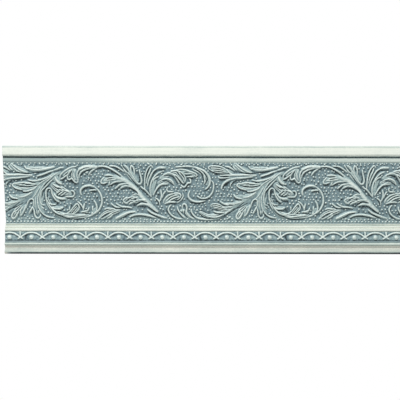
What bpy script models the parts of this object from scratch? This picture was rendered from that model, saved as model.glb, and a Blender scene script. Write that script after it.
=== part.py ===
"""A length of carved and painted wooden moulding, 400 mm long and 107.5 mm high.

The strip is one piece of wood: a moulded section run out along its length, with
scrolling leaves carved on the sloping frieze and a row of arches and pearls below.
Lengths are in millimetres until the mesh is made, which is in metres.
The strip hangs on a wall: the origin is the middle of its flat back, -Y is its
face, +X runs along it to the right and +Z is up.
"""
import math

import bmesh
import bpy
import numpy as np

METRES = 0.001

# The strip
STRIP_LENGTH = 400.0
STRIP_HEIGHT = 107.5
TRIANGLES = 9600
GRID_ALONG = 0.8
GRID_DOWN = 0.9
SHARP_EDGE = math.radians(40)

# The section from the top edge to the bottom edge: (height, depth out from the back)
SECTION = (
    (53.75, 28.9), (53.2, 29.8), (52.4, 30.0), (45.8, 30.0), (44.7, 29.5), (44.0, 28.2),
    (43.3, 26.2), (42.4, 27.3), (38.2, 27.1), (37.6, 26.4),
    (-22.7, 13.0), (-23.0, 14.8), (-24.2, 14.9), (-25.1, 14.1), (-25.7, 16.2), (-26.9, 16.5),
    (-27.8, 15.8), (-28.6, 18.3), (-30.2, 18.5), (-31.2, 17.1),
    (-40.7, 17.0), (-41.7, 17.7), (-42.5, 17.3), (-43.2, 19.6), (-44.2, 19.7), (-45.3, 17.6),
    (-47.0, 16.8), (-49.0, 17.3), (-51.6, 19.2), (-52.4, 19.0), (-53.75, 17.2),
)
FRIEZE_TOP = 37.6
FRIEZE_FOOT = -22.7

# The carving
STEM_RISE = 2.3
LEAF_RISE = 1.9
REPEAT = 223.8
TURNS = (-1, 0, 1)
STAMP_STEP = 0.25
ROUNDNESS = 1.3

# How stems and leaves narrow: the share of the full width that is left at the ends,
# how quickly it comes, and how far a leaf's belly lies towards its tip
STEM_ENDS = 0.6
STEM_SWELL = 0.5
LEAF_ENDS = 0.42
LEAF_SWELL = 0.8
LEAF_BELLY = 1.15
LEAF_END_RISE = 0.75

# The full-size drawing of the carving, 400 mm square, is a sight of the strip from
# in front. Points on it are (along, down) from its top left corner. A part of the
# strip that stands nearer to the eye is drawn larger.
SIGHT_MIDDLE = (200.0, 199.75)
SIGHT_DISTANCE = 800.0
SIGHT_DEPTH = 22.0
SIGHT_ASIDE = 4.0
CARVING_MIDDLE = 1.5
SLANT_ROOM = 6.0

# Row of arches and pearls on the drawing. An arch's feet run on a little past its
# neighbours' and turn level there.
ARCH_SPACING = 21.6
ARCH_MIDDLE = 31.3
ARCH_NUMBERS = range(-2, 20)
ARCH_CROWN = 232.4
ARCH_FOOT = 237.4
ARCH_TOE = 0.9
ARCH_OVERRUN = 1.18
ARCH_BEND = 2.2
ARCH_STEPS = 120
ARCH_RISE = 2.1
ARCH_WIDTH = 2.2
PEARL_DOWN = 237.0
PEARL_WIDTH = 5.0
PEARL_RISE = 2.2

# Stems: (width, points along the middle)
STEMS = (
    (7.6, ((-6, 206), (12, 205.2), (24, 199.2), (34, 190.5), (44, 180.5), (57, 174))),
    (3.6, ((50, 178), (62, 172.5), (76, 167.4), (90, 166.2), (104, 166.6), (114, 170.4), (123, 176.6))),
    (6.4, ((115, 178), (127, 180), (136, 188), (145, 198), (157, 211))),
    (3.4, ((46, 191), (46, 199), (51, 207.6), (58, 213), (70, 215.6), (86, 214.8))),
    (2.8, ((54, 217.6), (42, 212.6), (37.6, 202), (44, 188))),
    (2.8, ((90, 214.8), (97, 211), (101.4, 204), (101, 196), (97, 189), (88, 185.4), (81.5, 188.5), (81, 194.4))),
    (3.0, ((193, 166.6), (203, 170.2), (209.6, 177.6), (209.4, 184.4), (205.6, 188.8))),
    (2.4, ((211.4, 180), (213.6, 186.6), (209, 196), (203, 198.2), (197, 195.8))),
    (2.8, ((189.8, 190.4), (188.4, 196), (192.4, 200.2), (200.4, 201.3), (206, 199.4))),
    (4.2, ((200.4, 211.8), (208, 215.8), (216, 216.6), (226, 212.6))),
    (2.4, ((191.3, 208.4), (195.2, 216.2), (206, 218.8), (219, 217.6))),
    (2.4, ((170.9, 204.4), (168.4, 210), (172.6, 216), (183, 218.5))),
    (2.4, ((26, 207.5), (29, 200.2), (32.6, 200), (33.4, 207), (36, 217), (40, 215.6))),
    (2.4, ((139.2, 169.4), (141.3, 178), (139.6, 183.2), (134.4, 178.6), (130.8, 173.6))),
)

# Leaves: (width at the belly, root, belly, tip)
LEAVES = (
    (5.2, (28, 172.4), (18, 169), (9.6, 164.2)),
    (3.8, (53, 167.2), (35, 169.9), (25, 166.6)),
    (3.6, (33, 175), (12, 174.8), (-2, 169)),
    (3.0, (30, 175.9), (14, 177.7), (-1, 179)),
    (3.0, (57, 168.8), (46, 173.2), (36.4, 176.2)),
    (3.4, (53, 174.4), (40, 180), (28, 180)),
    (8.4, (38, 184.6), (24, 186.6), (12.4, 185)),
    (4.2, (32, 192.2), (19, 197.4), (9.2, 195)),
    (5.8, (21, 206.6), (14.6, 213), (12.4, 218.2)),
    (4.6, (26, 203), (23.4, 210), (19.4, 215.6)),
    (2.4, (33, 206), (30.6, 210.4), (28.8, 213.4)),
    (3.2, (50, 188.2), (53.4, 196.2), (59.2, 201.6)),
    (3.8, (49, 206), (57, 208.6), (63, 207.2)),
    (4.2, (53, 174.6), (57, 181), (61.2, 184)),
    (3.4, (50.4, 182.6), (57, 186.5), (63.4, 187.8)),
    (7.8, (53, 193.2), (63, 193.2), (74.4, 193.6)),
    (2.6, (52, 195.4), (60, 198.3), (67, 197.8)),
    (6.4, (66.4, 214.2), (73, 209.4), (78.2, 204.6)),
    (6.0, (75, 167.6), (66, 171.8), (59.6, 178.4)),
    (5.4, (77, 169), (71, 174.4), (68.6, 179.4)),
    (6.0, (79, 168.6), (75.4, 175), (76.8, 182.2)),
    (2.6, (91, 167.4), (82, 171.2), (78.8, 177.8)),
    (2.4, (96, 168), (90.4, 171.8), (88.2, 175.4)),
    (2.6, (94, 212.8), (96.8, 206.4), (93.6, 200.2)),
    (3.2, (82, 214), (86, 211.2), (88.8, 207.2)),
    (9.4, (124, 178.8), (112, 178.8), (100.8, 180.8)),
    (3.2, (123, 180.8), (114, 182.4), (107.8, 185.2)),
    (3.0, (130, 184.4), (120, 184.6), (114.8, 189)),
    (2.6, (134, 188), (126, 185.8), (120.4, 188.4)),
    (4.0, (128, 173.4), (124, 168.6), (121.4, 164.8)),
    (2.6, (131, 174.4), (128.6, 169.6), (124.2, 164.8)),
    (4.8, (133, 176), (132.2, 169.6), (131.2, 164.8)),
    (4.4, (144.8, 189.4), (145.6, 177), (150.6, 165.4)),
    (3.2, (147.6, 187), (151.6, 174), (161, 167.2)),
    (3.0, (155, 169.4), (160, 167.2), (166, 167.2)),
    (3.4, (151.2, 196), (151.4, 183), (161.6, 171.2)),
    (4.2, (152.8, 195.2), (157.4, 187), (168.4, 183.4)),
    (3.6, (158, 181.6), (168, 178.8), (174, 184.2)),
    (4.2, (160, 177), (169.6, 173), (179.2, 183)),
    (8.2, (170, 170.4), (179, 174.8), (184.4, 183)),
    (5.8, (176, 169.8), (188, 172.4), (197.6, 175.4)),
    (2.4, (181, 184.8), (185.4, 186.2), (190.6, 181.6)),
    (6.8, (150, 200.4), (135, 198.6), (123.2, 200.2)),
    (3.2, (152, 207), (143, 204), (136.4, 205.4)),
    (3.0, (133, 207.8), (119, 206.4), (110.8, 202.8)),
    (6.4, (121, 209.2), (108, 213.2), (98.6, 218.4)),
    (4.2, (137, 211), (125, 213.4), (115.8, 218.4)),
    (3.4, (157, 217.2), (142, 214.2), (129.2, 216.8)),
    (3.4, (146.6, 208.2), (155, 214), (168.4, 218)),
    (2.4, (159.6, 205), (160.4, 197), (160.6, 189.4)),
    (2.2, (159.4, 202), (158, 199.6), (155.2, 197.2)),
    (9.2, (163.6, 203), (171, 197.8), (181, 194.4)),
    (2.4, (186, 218), (180, 212.4), (177.2, 206.4)),
    (5.2, (192, 218.2), (185.4, 211.2), (184.2, 203.4)),
    (6.8, (235, 172.4), (219, 169.2), (208.4, 167)),
    (4.4, (240, 175.4), (228, 176.2), (218.2, 176.4)),
    (3.8, (234, 178.4), (224.2, 182.6), (221.2, 189)),
    (3.2, (237, 204), (227, 204.2), (220, 200.8)),
    (6.0, (233, 207.8), (221, 206.8), (210.4, 205)),
    (2.8, (227, 211.8), (220, 212.3), (213.6, 210.6)),
)

# The wood as it is painted: a pale green milk paint
PAINT_COLOUR = (0.62, 0.70, 0.64, 1.0)
PAINT_ROUGHNESS = 0.62


def clear_scene():
    """Remove every object that the scene starts with."""
    for item in list(bpy.data.objects):
        bpy.data.objects.remove(item, do_unlink=True)


def painted_wood():
    """Return the material of the painted strip."""
    material = bpy.data.materials.new("painted_wood")
    material.use_nodes = True
    shader = material.node_tree.nodes["Principled BSDF"]
    shader.inputs["Base Color"].default_value = PAINT_COLOUR
    shader.inputs["Roughness"].default_value = PAINT_ROUGHNESS
    shader.inputs["Metallic"].default_value = 0.0
    return material


def section_rows():
    """Return the heights and depths of the grid's rows, from the bottom edge up.

    Every corner of the section is a row, and longer runs are divided evenly.
    """
    heights = []
    for (high, _), (low, _) in zip(SECTION[:-1], SECTION[1:]):
        parts = max(1, round((high - low) / GRID_DOWN))
        heights += [high + (low - high) * part / parts for part in range(parts)]
    heights.append(SECTION[-1][0])
    heights = np.array(heights[::-1])
    corners = np.array(SECTION[::-1])
    return heights, np.interp(heights, corners[:, 0], corners[:, 1])


def smooth_line(points):
    """Return points close together on a smooth curve through the given points."""
    knots = np.array(points, dtype=float)
    knots = np.vstack([2 * knots[0] - knots[1], knots, 2 * knots[-1] - knots[-2]])
    pieces = []
    for before, start, end, after in zip(knots[:-3], knots[1:-2], knots[2:-1], knots[3:]):
        count = max(2, int(np.hypot(*(end - start)) / STAMP_STEP))
        t = np.linspace(0, 1, count, endpoint=False)[:, None]
        pieces.append(0.5 * (2 * start + (end - before) * t
                             + (2 * before - 5 * start + 4 * end - after) * t ** 2
                             + (3 * start - before - 3 * end + after) * t ** 3))
    return np.vstack(pieces + [knots[-2:-1]])


def raise_along(relief, along, down, line, half_widths, rises):
    """Raise a rounded ridge along a line, over what is carved there already.

    relief, along and down are grids of one shape: the carving's height and each
    point's place on the drawing.
    """
    for (x, y), half_width, rise in zip(line, half_widths, rises):
        rows = np.abs(down[:, 0] - y) < half_width
        columns = np.abs(along[along.shape[0] // 2] - x) < half_width + SLANT_ROOM
        if not rows.any() or not columns.any():
            continue
        window = np.ix_(rows, columns)
        distance = ((along[window] - x) ** 2 + (down[window] - y) ** 2) / half_width ** 2
        ridge = rise * (1 - np.clip(distance, 0, 1) ** ROUNDNESS)
        relief[window] = np.maximum(relief[window], ridge)


def carve_stem(relief, along, down, width, points):
    """Carve one stem, which narrows a little towards its ends."""
    line = smooth_line(points)
    middle = np.sin(np.pi * np.linspace(0, 1, len(line))) ** STEM_SWELL
    swell = STEM_ENDS + (1 - STEM_ENDS) * middle
    raise_along(relief, along, down, line, width / 2 * swell, STEM_RISE * swell)


def carve_leaf(relief, along, down, width, root, belly, tip):
    """Carve one leaf, which is widest at its belly and narrows to its root and tip."""
    line = smooth_line((root, belly, tip))
    middle = np.sin(np.pi * np.linspace(0, 1, len(line)) ** LEAF_BELLY) ** LEAF_SWELL
    swell = LEAF_ENDS + (1 - LEAF_ENDS) * middle
    rises = LEAF_RISE * (LEAF_END_RISE + (1 - LEAF_END_RISE) * swell)
    raise_along(relief, along, down, line, width / 2 * swell, rises)


def carve_arches(relief, along, down):
    """Carve the row of arches, with a pearl under each one."""
    sweep = np.linspace(-ARCH_OVERRUN, ARCH_OVERRUN, ARCH_STEPS)
    drop = (ARCH_FOOT - ARCH_CROWN) * np.abs(sweep) ** ARCH_BEND
    curve = np.minimum(ARCH_CROWN + drop, ARCH_FOOT + ARCH_TOE)
    half_widths = np.full(ARCH_STEPS, ARCH_WIDTH / 2)
    rises = np.full(ARCH_STEPS, ARCH_RISE)
    for number in ARCH_NUMBERS:
        middle = ARCH_MIDDLE + number * ARCH_SPACING
        arch = np.column_stack([middle + ARCH_SPACING / 2 * sweep, curve])
        raise_along(relief, along, down, arch, half_widths, rises)
        pearl = [(middle, PEARL_DOWN)]
        raise_along(relief, along, down, pearl, [PEARL_WIDTH / 2], [PEARL_RISE])


def carving(columns, heights, depths):
    """Return the height of the carving over every point of the grid.

    The drawing shows the carving's own surface, so a point's place on it is that of
    a point CARVING_MIDDLE out from the section.
    """
    nearer = depths + CARVING_MIDDLE - SIGHT_DEPTH
    larger = SIGHT_DISTANCE / (SIGHT_DISTANCE - nearer)
    down = SIGHT_MIDDLE[1] - (heights * larger)[:, None] + 0 * columns[None, :]
    frieze = np.zeros_like(down)
    for turn in TURNS:
        shifted = columns + SIGHT_ASIDE - turn * REPEAT
        along = SIGHT_MIDDLE[0] + larger[:, None] * shifted[None, :]
        for width, points in STEMS:
            carve_stem(frieze, along, down, width, points)
        for width, root, belly, tip in LEAVES:
            carve_leaf(frieze, along, down, width, root, belly, tip)
    on_frieze = (heights < FRIEZE_TOP) & (heights > FRIEZE_FOOT)
    frieze[~on_frieze] = 0.0
    along = SIGHT_MIDDLE[0] + larger[:, None] * (columns + SIGHT_ASIDE)[None, :]
    band = np.zeros_like(down)
    carve_arches(band, along, down)
    return np.maximum(frieze, band)


def face_sheet():
    """Make the strip's face as a grid and press the section and the carving into it."""
    heights, depths = section_rows()
    steps = round(STRIP_LENGTH / GRID_ALONG)
    columns = np.linspace(-STRIP_LENGTH / 2, STRIP_LENGTH / 2, steps + 1)
    relief = carving(columns, heights, depths)
    sheet = bmesh.new()
    bmesh.ops.create_grid(sheet, x_segments=steps, y_segments=len(heights) - 1, size=1.0)
    for vertex in sheet.verts:
        column = round((vertex.co.x + 1) / 2 * steps)
        row = round((vertex.co.y + 1) / 2 * (len(heights) - 1))
        out = depths[row] + relief[row, column]
        vertex.co = (columns[column] * METRES, -out * METRES, heights[row] * METRES)
    return sheet


def thinned(sheet, name):
    """Return the sheet with fewer triangles, as a new mesh sheet."""
    mesh = bpy.data.meshes.new(name)
    sheet.to_mesh(mesh)
    sheet.free()
    guide = bpy.data.objects.new(name, mesh)
    bpy.context.scene.collection.objects.link(guide)
    decimate = guide.modifiers.new("fewer_faces", "DECIMATE")
    decimate.ratio = TRIANGLES / (2 * len(mesh.polygons))
    evaluated = guide.evaluated_get(bpy.context.evaluated_depsgraph_get())
    thin = bmesh.new()
    thin.from_mesh(evaluated.to_mesh())
    evaluated.to_mesh_clear()
    bpy.data.objects.remove(guide, do_unlink=True)
    bpy.data.meshes.remove(mesh)
    return thin


def square_ends(sheet):
    """Bring the sheet's border exactly onto the two cut ends and the top and bottom edges."""
    end, edge = STRIP_LENGTH / 2 * METRES, STRIP_HEIGHT / 2 * METRES
    for vertex in sheet.verts:
        if not vertex.is_boundary:
            continue
        if end - abs(vertex.co.x) < edge - abs(vertex.co.z):
            vertex.co.x = math.copysign(end, vertex.co.x)
        else:
            vertex.co.z = math.copysign(edge, vertex.co.z)


def back_it(sheet):
    """Carry the sheet's border back to the wall and close the flat back."""
    border = [edge for edge in sheet.edges if edge.is_boundary]
    walls = bmesh.ops.extrude_edge_only(sheet, edges=border)["geom"]
    back = [item for item in walls if isinstance(item, bmesh.types.BMVert)]
    for vertex in back:
        vertex.co.y = 0.0
    rim = [edge for edge in sheet.edges if edge.is_boundary]
    bmesh.ops.contextual_create(sheet, geom=rim)
    bmesh.ops.recalc_face_normals(sheet, faces=sheet.faces)


def moulding_strip(collection):
    """Make the strip and put it in the collection."""
    sheet = thinned(face_sheet(), "face_guide")
    square_ends(sheet)
    back_it(sheet)
    bmesh.ops.triangulate(sheet, faces=sheet.faces)
    mesh = bpy.data.meshes.new("moulding_strip")
    sheet.to_mesh(mesh)
    sheet.free()
    mesh.materials.append(painted_wood())
    mesh.shade_smooth()
    mesh.set_sharp_from_angle(angle=SHARP_EDGE)
    strip = bpy.data.objects.new("moulding_strip", mesh)
    collection.objects.link(strip)
    return strip


def main():
    """Build the object."""
    clear_scene()
    collection = bpy.data.collections.new("Moulding strip")
    bpy.context.scene.collection.children.link(collection)
    moulding_strip(collection)


main()
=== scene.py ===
"""A length of carved wooden moulding in its painted and glazed finish.

One shown piece stands for the solid. Its face is a fine sheet of wood that is pressed
to the moulded section and then carved: scrolling leaves and a stippled ground on the
sloping frieze, two rows of small beads, and a row of arches with pearls below.
Lengths are in millimetres until a mesh is made, which is in metres. The origin is the
middle of the flat back, -Y is the face, +X runs to the right and +Z is up.
"""
import logging
import math
from collections.abc import Callable
from dataclasses import dataclass, field
from enum import Enum
from functools import partial

import bmesh
import bpy
import numpy as np
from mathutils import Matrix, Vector


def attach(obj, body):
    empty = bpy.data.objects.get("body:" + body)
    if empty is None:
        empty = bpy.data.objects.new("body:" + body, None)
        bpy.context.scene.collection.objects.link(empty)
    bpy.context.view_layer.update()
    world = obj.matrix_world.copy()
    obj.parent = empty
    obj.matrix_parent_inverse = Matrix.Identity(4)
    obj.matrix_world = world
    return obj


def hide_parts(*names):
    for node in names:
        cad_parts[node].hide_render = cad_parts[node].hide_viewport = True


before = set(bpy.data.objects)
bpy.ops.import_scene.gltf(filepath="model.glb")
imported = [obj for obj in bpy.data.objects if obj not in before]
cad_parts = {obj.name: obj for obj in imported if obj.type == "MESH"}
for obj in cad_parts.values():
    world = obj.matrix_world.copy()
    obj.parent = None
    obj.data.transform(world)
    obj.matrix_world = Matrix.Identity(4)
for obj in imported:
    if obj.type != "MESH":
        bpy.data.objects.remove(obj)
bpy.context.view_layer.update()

MM = 0.001
NODE = "moulding_strip"

Point = tuple[float, float]
Triple = tuple[float, float, float]
Box = tuple[float, float, float, float]
Stops = tuple[Point, ...]
Colour = Triple
Field = np.ndarray
Socket = bpy.types.NodeSocket
Feed = Socket | float | tuple

log = logging.getLogger(NODE)


class Tool(Enum):
    """The marks that the carver makes."""

    RIB = "a fine raised line that stands on its own low body"
    STEM = "a round stem"
    # the dark glaze in a cut is partly painted shade: most cuts run just below the leaves' lower edges,
    # where shade falls
    CUT = "a groove that the glaze fills"
    PAD = "the low body of a leaf"
    VEINED = "a leaf's body with fine veins side by side"
    BED = "smooth wood a little over the ground"


@dataclass(frozen=True)
class Stroke:
    """One mark of the carver, as a smooth line on the full-size drawing.

    The drawing is 400 mm square, and its points are (along, down) from its top left
    corner, as the strip is seen by an eye in front of it.
    """

    tool: Tool
    width: float
    points: tuple[Point, ...]


def mark(tool: Tool, width: float, *points: Point) -> Stroke:
    """Return a stroke of a tool."""
    return Stroke(tool, width, points)


rib, stem, cut, pad, veined, bed = (partial(mark, tool) for tool in Tool)

# The scrollwork of one repeat of the frieze
SCROLLWORK: tuple[Stroke, ...] = (
    # first ribbed leaf
    rib(2.4, (11.3, 163.2), (14, 165.5), (18, 168.5), (22, 170.6), (27, 172.2)),
    rib(1.3, (11.3, 163.2), (10.4, 164.5), (13, 167.4), (16, 170), (19, 171.5)),
    rib(1.3, (8.3, 165.8), (10, 168), (12.2, 169.8)), rib(1.3, (3.5, 166), (6.5, 168)),
    # second top leaf
    rib(1.6, (24.3, 165.8), (26, 168), (29, 169)),
    pad(5.4, (26.6, 166.6), (31, 168.2), (37, 168.4), (44, 167.6)),
    rib(3.6, (26.8, 168), (32, 169.3), (38, 169.5), (45, 168.5), (54, 166.6)),
    rib(1.4, (29, 167.2), (36, 167.8), (44, 167)),
    rib(1.3, (53.5, 169.9), (57, 168.8), (60, 167.5), (63, 167.3)),
    # long leaf at the left edge
    rib(2.6, (2, 169), (5, 172.5), (8, 174.2), (14, 174.6), (20, 174.3), (32, 175)),
    rib(1.8, (1, 179), (6, 178.8), (12, 177.7), (20, 177.2), (29, 175.9)),
    cut(1.3, (6.5, 182), (10, 180.7), (18, 179.2), (24, 178.3), (29.5, 177.5)),
    cut(1.2, (14, 171.6), (20, 172.7), (28, 173.4), (33, 172.4), (40, 171.4), (46, 170.3)),
    # crest leaf
    rib(1.8, (36.5, 175.9), (40, 174.8), (44, 173.6), (48, 171.8), (53, 170.3)),
    cut(1.2, (37, 176.9), (41, 176.1), (45, 174.7), (50, 172.5)),
    rib(1.8, (28, 179.6), (31, 180.4), (36, 180.3), (42, 179), (48, 176.6), (52, 174)),
    cut(1.0, (28, 181), (30.5, 181.4), (32, 182.2), (35.5, 182.3)),
    # dish leaf
    rib(2.0, (13.2, 183.2), (17, 183), (22, 182.4), (28, 182.9), (35, 183.6)),
    rib(1.2, (18, 184.9), (24, 184.2)), rib(1.4, (25, 185.5), (31, 185.4), (35, 184.6)),
    rib(2.0, (13.6, 183), (12.4, 184.8), (14, 187), (18, 188.6), (21.8, 189.6)),
    rib(2.2, (22.3, 190.9), (26, 190.9), (30, 189.9), (34, 188.3), (37, 185.5)),
    cut(1.3, (15.5, 185), (20, 186), (26, 186.6), (32, 185.9), (36.5, 185)),
    cut(1.0, (21.5, 183.8), (24.5, 183.2)), cut(0.9, (25, 184.4), (30.5, 184.3)),
    cut(1.3, (12.3, 186.6), (15, 188.9), (18.5, 190), (21.8, 190.9), (23, 192.3), (26, 192.5),
        (30.5, 191.2)),
    # small dish leaf
    rib(2.2, (9.3, 194.2), (10.5, 196), (13, 197.5), (17.5, 198.5)),
    rib(1.2, (16.3, 194.8), (16.6, 196)),
    rib(2.4, (18.5, 197), (23, 196.4), (27.5, 194.6), (31.5, 192)),
    cut(1.5, (9.3, 197.1), (12, 199.2), (17.5, 199.6)),
    # the vine
    rib(1.5, (0, 203), (6, 203), (12, 202.8), (17, 201.4)), rib(1.2, (0, 206.2), (5, 206.2), (8, 206)),
    cut(0.9, (4, 204.9), (8, 204.8)), cut(1.0, (8, 209), (13, 207.6), (19, 205), (23, 202.6)),
    rib(1.0, (33.6, 188.8), (38, 184.4), (43, 180.8), (49, 177.4), (56, 173.2)),
    rib(1.0, (44.6, 182.8), (48.6, 179.2), (53, 175.6), (57, 172.4)),
    rib(1.2, (40, 186.8), (38, 189.5), (36.3, 192.6), (34, 195.9), (31.5, 198)),
    # long tails below the vine
    rib(1.4, (26, 207.5), (27.2, 203), (29, 200), (31.6, 198.6), (33.3, 200), (33.5, 204),
        (32.7, 206.5)),
    rib(1.7, (32.4, 206.5), (31.2, 209), (29.8, 211.5), (28.8, 213.2)),
    rib(1.6, (32.4, 206.5), (34, 210.5), (34.6, 214.5), (36, 217), (38, 217.8), (40, 216), (40.3, 214)),
    rib(1.0, (36.6, 210), (37, 214)), rib(1.0, (38.6, 210), (38.6, 213.4)),
    rib(1.1, (35.5, 196.5), (35.2, 201), (35.8, 208)),
    rib(1.4, (49.6, 178.2), (45.6, 181.8), (42, 186.4), (39.8, 191), (38, 196), (37.4, 201),
        (38, 205.5), (39.6, 209.4), (42, 212.6), (45, 215.2), (49, 216.7), (54, 217.6)),
    rib(1.4, (53.6, 178), (49, 182.2), (44.5, 187.5), (41.5, 190.5), (40, 195), (39.8, 200),
        (41.2, 203.8), (44.5, 205)),
    rib(1.0, (41.2, 206.4), (43.8, 208.6)), cut(1.2, (29.2, 200.8), (31, 200), (32.4, 200.9)),
    cut(1.1, (41, 213.6), (45, 216.6), (49, 218.4), (54.5, 218.6)),
    cut(1.1, (48.6, 184.6), (45.5, 187.6), (43.2, 190.6), (42.2, 194), (41.6, 198)),
    # lower left leaves
    rib(2.2, (18.5, 209.4), (15, 211), (12.8, 213.2), (11.8, 216), (12.6, 218), (14.8, 217.4),
        (17, 214.4), (19, 210.6)),
    rib(0.9, (14.2, 214.6), (16.6, 211.8)), rib(0.9, (15.6, 215.6), (17.8, 212.6)),
    rib(2.0, (19.6, 215.6), (21.6, 214), (23.6, 210.6), (25, 207.4), (25.6, 204.4)),
    rib(1.6, (20.3, 213.4), (20.6, 210), (22.4, 206.5)),
    # first scroll
    rib(1.7, (50, 188), (47.6, 188.2), (46, 190), (45.7, 193), (46, 197), (46.9, 200.3), (49, 202.9),
        (52, 204.2), (55.2, 204.5)),
    rib(1.7, (50, 188), (51.4, 190), (52, 193.4), (53.6, 196.6), (56, 199.8), (59, 201.6)),
    cut(2.2, (48.2, 189.6), (48.4, 190.2)), cut(1.2, (47.4, 191), (47.2, 197)),
    cut(1.5, (51.2, 197.4), (54, 200.3), (57, 202.9), (59.2, 202.7)),
    cut(1.3, (49.5, 198.4), (51.5, 198.2)),
    rib(2.4, (50.6, 206.2), (54, 208.2), (59, 208.4), (62.6, 207.2)),
    cut(1.0, (51.6, 205.5), (55.8, 205.5)),
    cut(1.6, (54.8, 209.7), (60, 210.4), (62.6, 209.2), (64, 207.4)),
    stem(4.0, (47.5, 203), (50, 206.6), (54, 210.4), (58, 213), (63, 214.4), (69, 214.8)),
    rib(1.5, (51.4, 208), (55, 211.6), (59, 213.4), (64, 213.8), (69, 212.4)),
    rib(2.0, (63, 216.2), (70, 216.5), (77, 215.6), (86, 214.4)),
    cut(1.1, (50.4, 209), (53, 211.8), (57, 214.6), (61, 215.9), (64, 217), (70, 218.4), (78, 218.5),
        (84, 218)),
    # lobes in the first scroll
    stem(3.6, (54.6, 176.5), (56.4, 180), (58.6, 182.2), (60.8, 183.6)),
    cut(1.2, (55.2, 182), (58, 184.2), (61.4, 185)),
    rib(2.4, (52.6, 183.6), (56, 186), (60, 187), (63, 187.6)),
    cut(1.2, (53.6, 186.2), (56.5, 187.8), (60.8, 188.8)),
    rib(1.8, (58.4, 189.8), (64, 190), (68, 191), (69.8, 193), (69.8, 195.2)),
    rib(1.1, (56, 193), (59.4, 190.8)), rib(1.1, (58, 194.6), (62.4, 191.6)),
    rib(1.1, (60.4, 195.6), (65.4, 192.6)), rib(1.2, (62.8, 196), (65.4, 194), (68, 193.6)),
    cut(0.6, (57, 194), (61, 191.1)), cut(0.6, (59.2, 195.2), (64.2, 191.9)),
    cut(0.6, (61.8, 195.8), (67.2, 192.9)),
    cut(1.0, (56, 194.6), (59, 196), (62.4, 196), (66.4, 194.8)),
    rib(1.3, (70.4, 190.6), (72.6, 190.7), (74, 192), (74.2, 194.4), (72.6, 196.2), (70, 196.7),
        (66, 196.7)),
    cut(1.1, (71, 191.6), (72.4, 192.4), (72.7, 193.8)), cut(1.3, (66, 197.8), (72.4, 197.6)),
    rib(2.4, (53.6, 193.4), (56, 196.4), (59, 198), (65, 198.3)),
    cut(1.4, (58.6, 199.4), (61, 200.4), (66, 200.4)),
    # ribbed dish leaf
    rib(1.4, (66, 213.4), (70, 211), (73, 207.4), (75.4, 204.4), (77.2, 203.6), (78.6, 205.4),
        (79, 208), (77, 210.6), (74, 213), (70.4, 214)),
    rib(0.9, (71, 212.6), (76.4, 206)), rib(0.9, (72.8, 213), (77.6, 207.4)),
    cut(0.6, (71.9, 212.4), (76.9, 206.8)),
    rib(1.0, (69.3, 206.4), (69.4, 209.8)),
    rib(1.3, (77, 201), (79.2, 202.6), (81.6, 205.2), (83, 208), (83.5, 210)),
    # hanging lobes of the arch
    rib(1.6, (59.4, 178.4), (60.4, 174.4), (64, 171), (67.6, 168.6), (71.4, 167), (76, 166.2)),
    rib(1.6, (59.6, 178.9), (62.5, 178), (65, 176), (67.4, 174.4), (69, 172), (72, 168.6)),
    cut(1.5, (60, 180.2), (62.8, 179.8), (65.8, 176.9)),
    rib(1.6, (67.6, 174.4), (67.2, 177.4), (67.9, 179), (69.6, 179.2), (71.4, 178), (73, 179.6),
        (74.6, 181.6), (76.6, 182.2), (77.8, 181.2)),
    rib(1.8, (77.8, 181.2), (77.6, 178.6), (76.8, 175.8), (77.2, 172), (79.2, 169.4), (83, 167.4)),
    rib(1.0, (73.2, 172), (73.2, 176), (75, 180.4)),
    cut(1.5, (67, 180), (69, 180.6), (71, 180.2), (73, 182.6), (76, 183.8), (78.6, 183.4)),
    cut(0.7, (71.6, 171), (70.2, 174), (70.2, 177)),
    rib(1.6, (78.6, 177.8), (79, 174.6), (81.2, 171.6), (84.4, 169.6), (89, 168.2)),
    cut(1.4, (80.4, 175.8), (82, 172.8), (85, 171), (89, 169.8)),
    pad(4.2, (62, 174.5), (68, 170.5), (74, 170), (75.4, 176), (76.4, 180)),
    rib(0.8, (63, 175.6), (66, 172.6), (70, 170)), rib(0.8, (72.6, 170.4), (71.6, 174), (72, 177.6)),
    rib(0.9, (74.6, 169.6), (73.9, 173), (74.6, 177), (76, 180.2)),
    rib(0.9, (79.6, 172), (82, 169.6), (86, 168.1), (91, 168)),
    cut(0.7, (80.4, 170.4), (84, 168.2), (89, 167.4)),
    # the arch
    stem(4.6, (79, 168.8), (84, 166.9), (90, 166.4), (96, 166.8)),
    rib(1.8, (96, 166.3), (102, 165.9), (107, 166.9), (112, 169.2), (117, 172.2), (122.8, 176.6)),
    cut(1.3, (95, 169.3), (99, 167.7), (103, 167.3), (107.6, 168.5), (112, 171), (116.4, 173.8),
        (120.4, 176.6)),
    rib(1.3, (88.4, 175), (89.6, 172.8), (91.6, 170.4), (95, 168.4)),
    rib(1.2, (109, 165.5), (114, 165.8), (118, 167.4), (121.4, 169.6), (124, 171.4)),
    cut(1.0, (110, 166.8), (115, 167.1), (119, 169.5), (122, 171.5)),
    rib(2.2, (86, 172.2), (87.2, 171.7)),
    # ring of the first scroll
    rib(2.6, (81.2, 194.6), (80.2, 192), (80.8, 189), (83, 186.8), (86.6, 185.4), (90.4, 185.2),
        (94, 186.4)),
    rib(2.0, (94, 186.4), (98, 190), (100.6, 194.2), (101.8, 198.4), (101.7, 203), (100, 207.4),
        (97.4, 210.8), (93.6, 213.4), (90, 215.4), (86, 216.6)),
    cut(2.0, (82.2, 191), (84.2, 188.4), (88, 187.6), (92.8, 188.6)),
    rib(1.4, (89, 190.6), (92, 189.7), (96.4, 189.6)), cut(1.3, (90.4, 191.6), (94, 191), (97, 192)),
    rib(1.6, (93.8, 200.2), (95.6, 203), (96.6, 206.4), (96.6, 209.6), (94.4, 212.4)),
    rib(1.4, (92.4, 206), (92.5, 210)), rib(2.4, (91.6, 213.2), (92.8, 212.4)),
    rib(1.6, (84.2, 203.4), (83.5, 207), (83.3, 210)),
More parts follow.
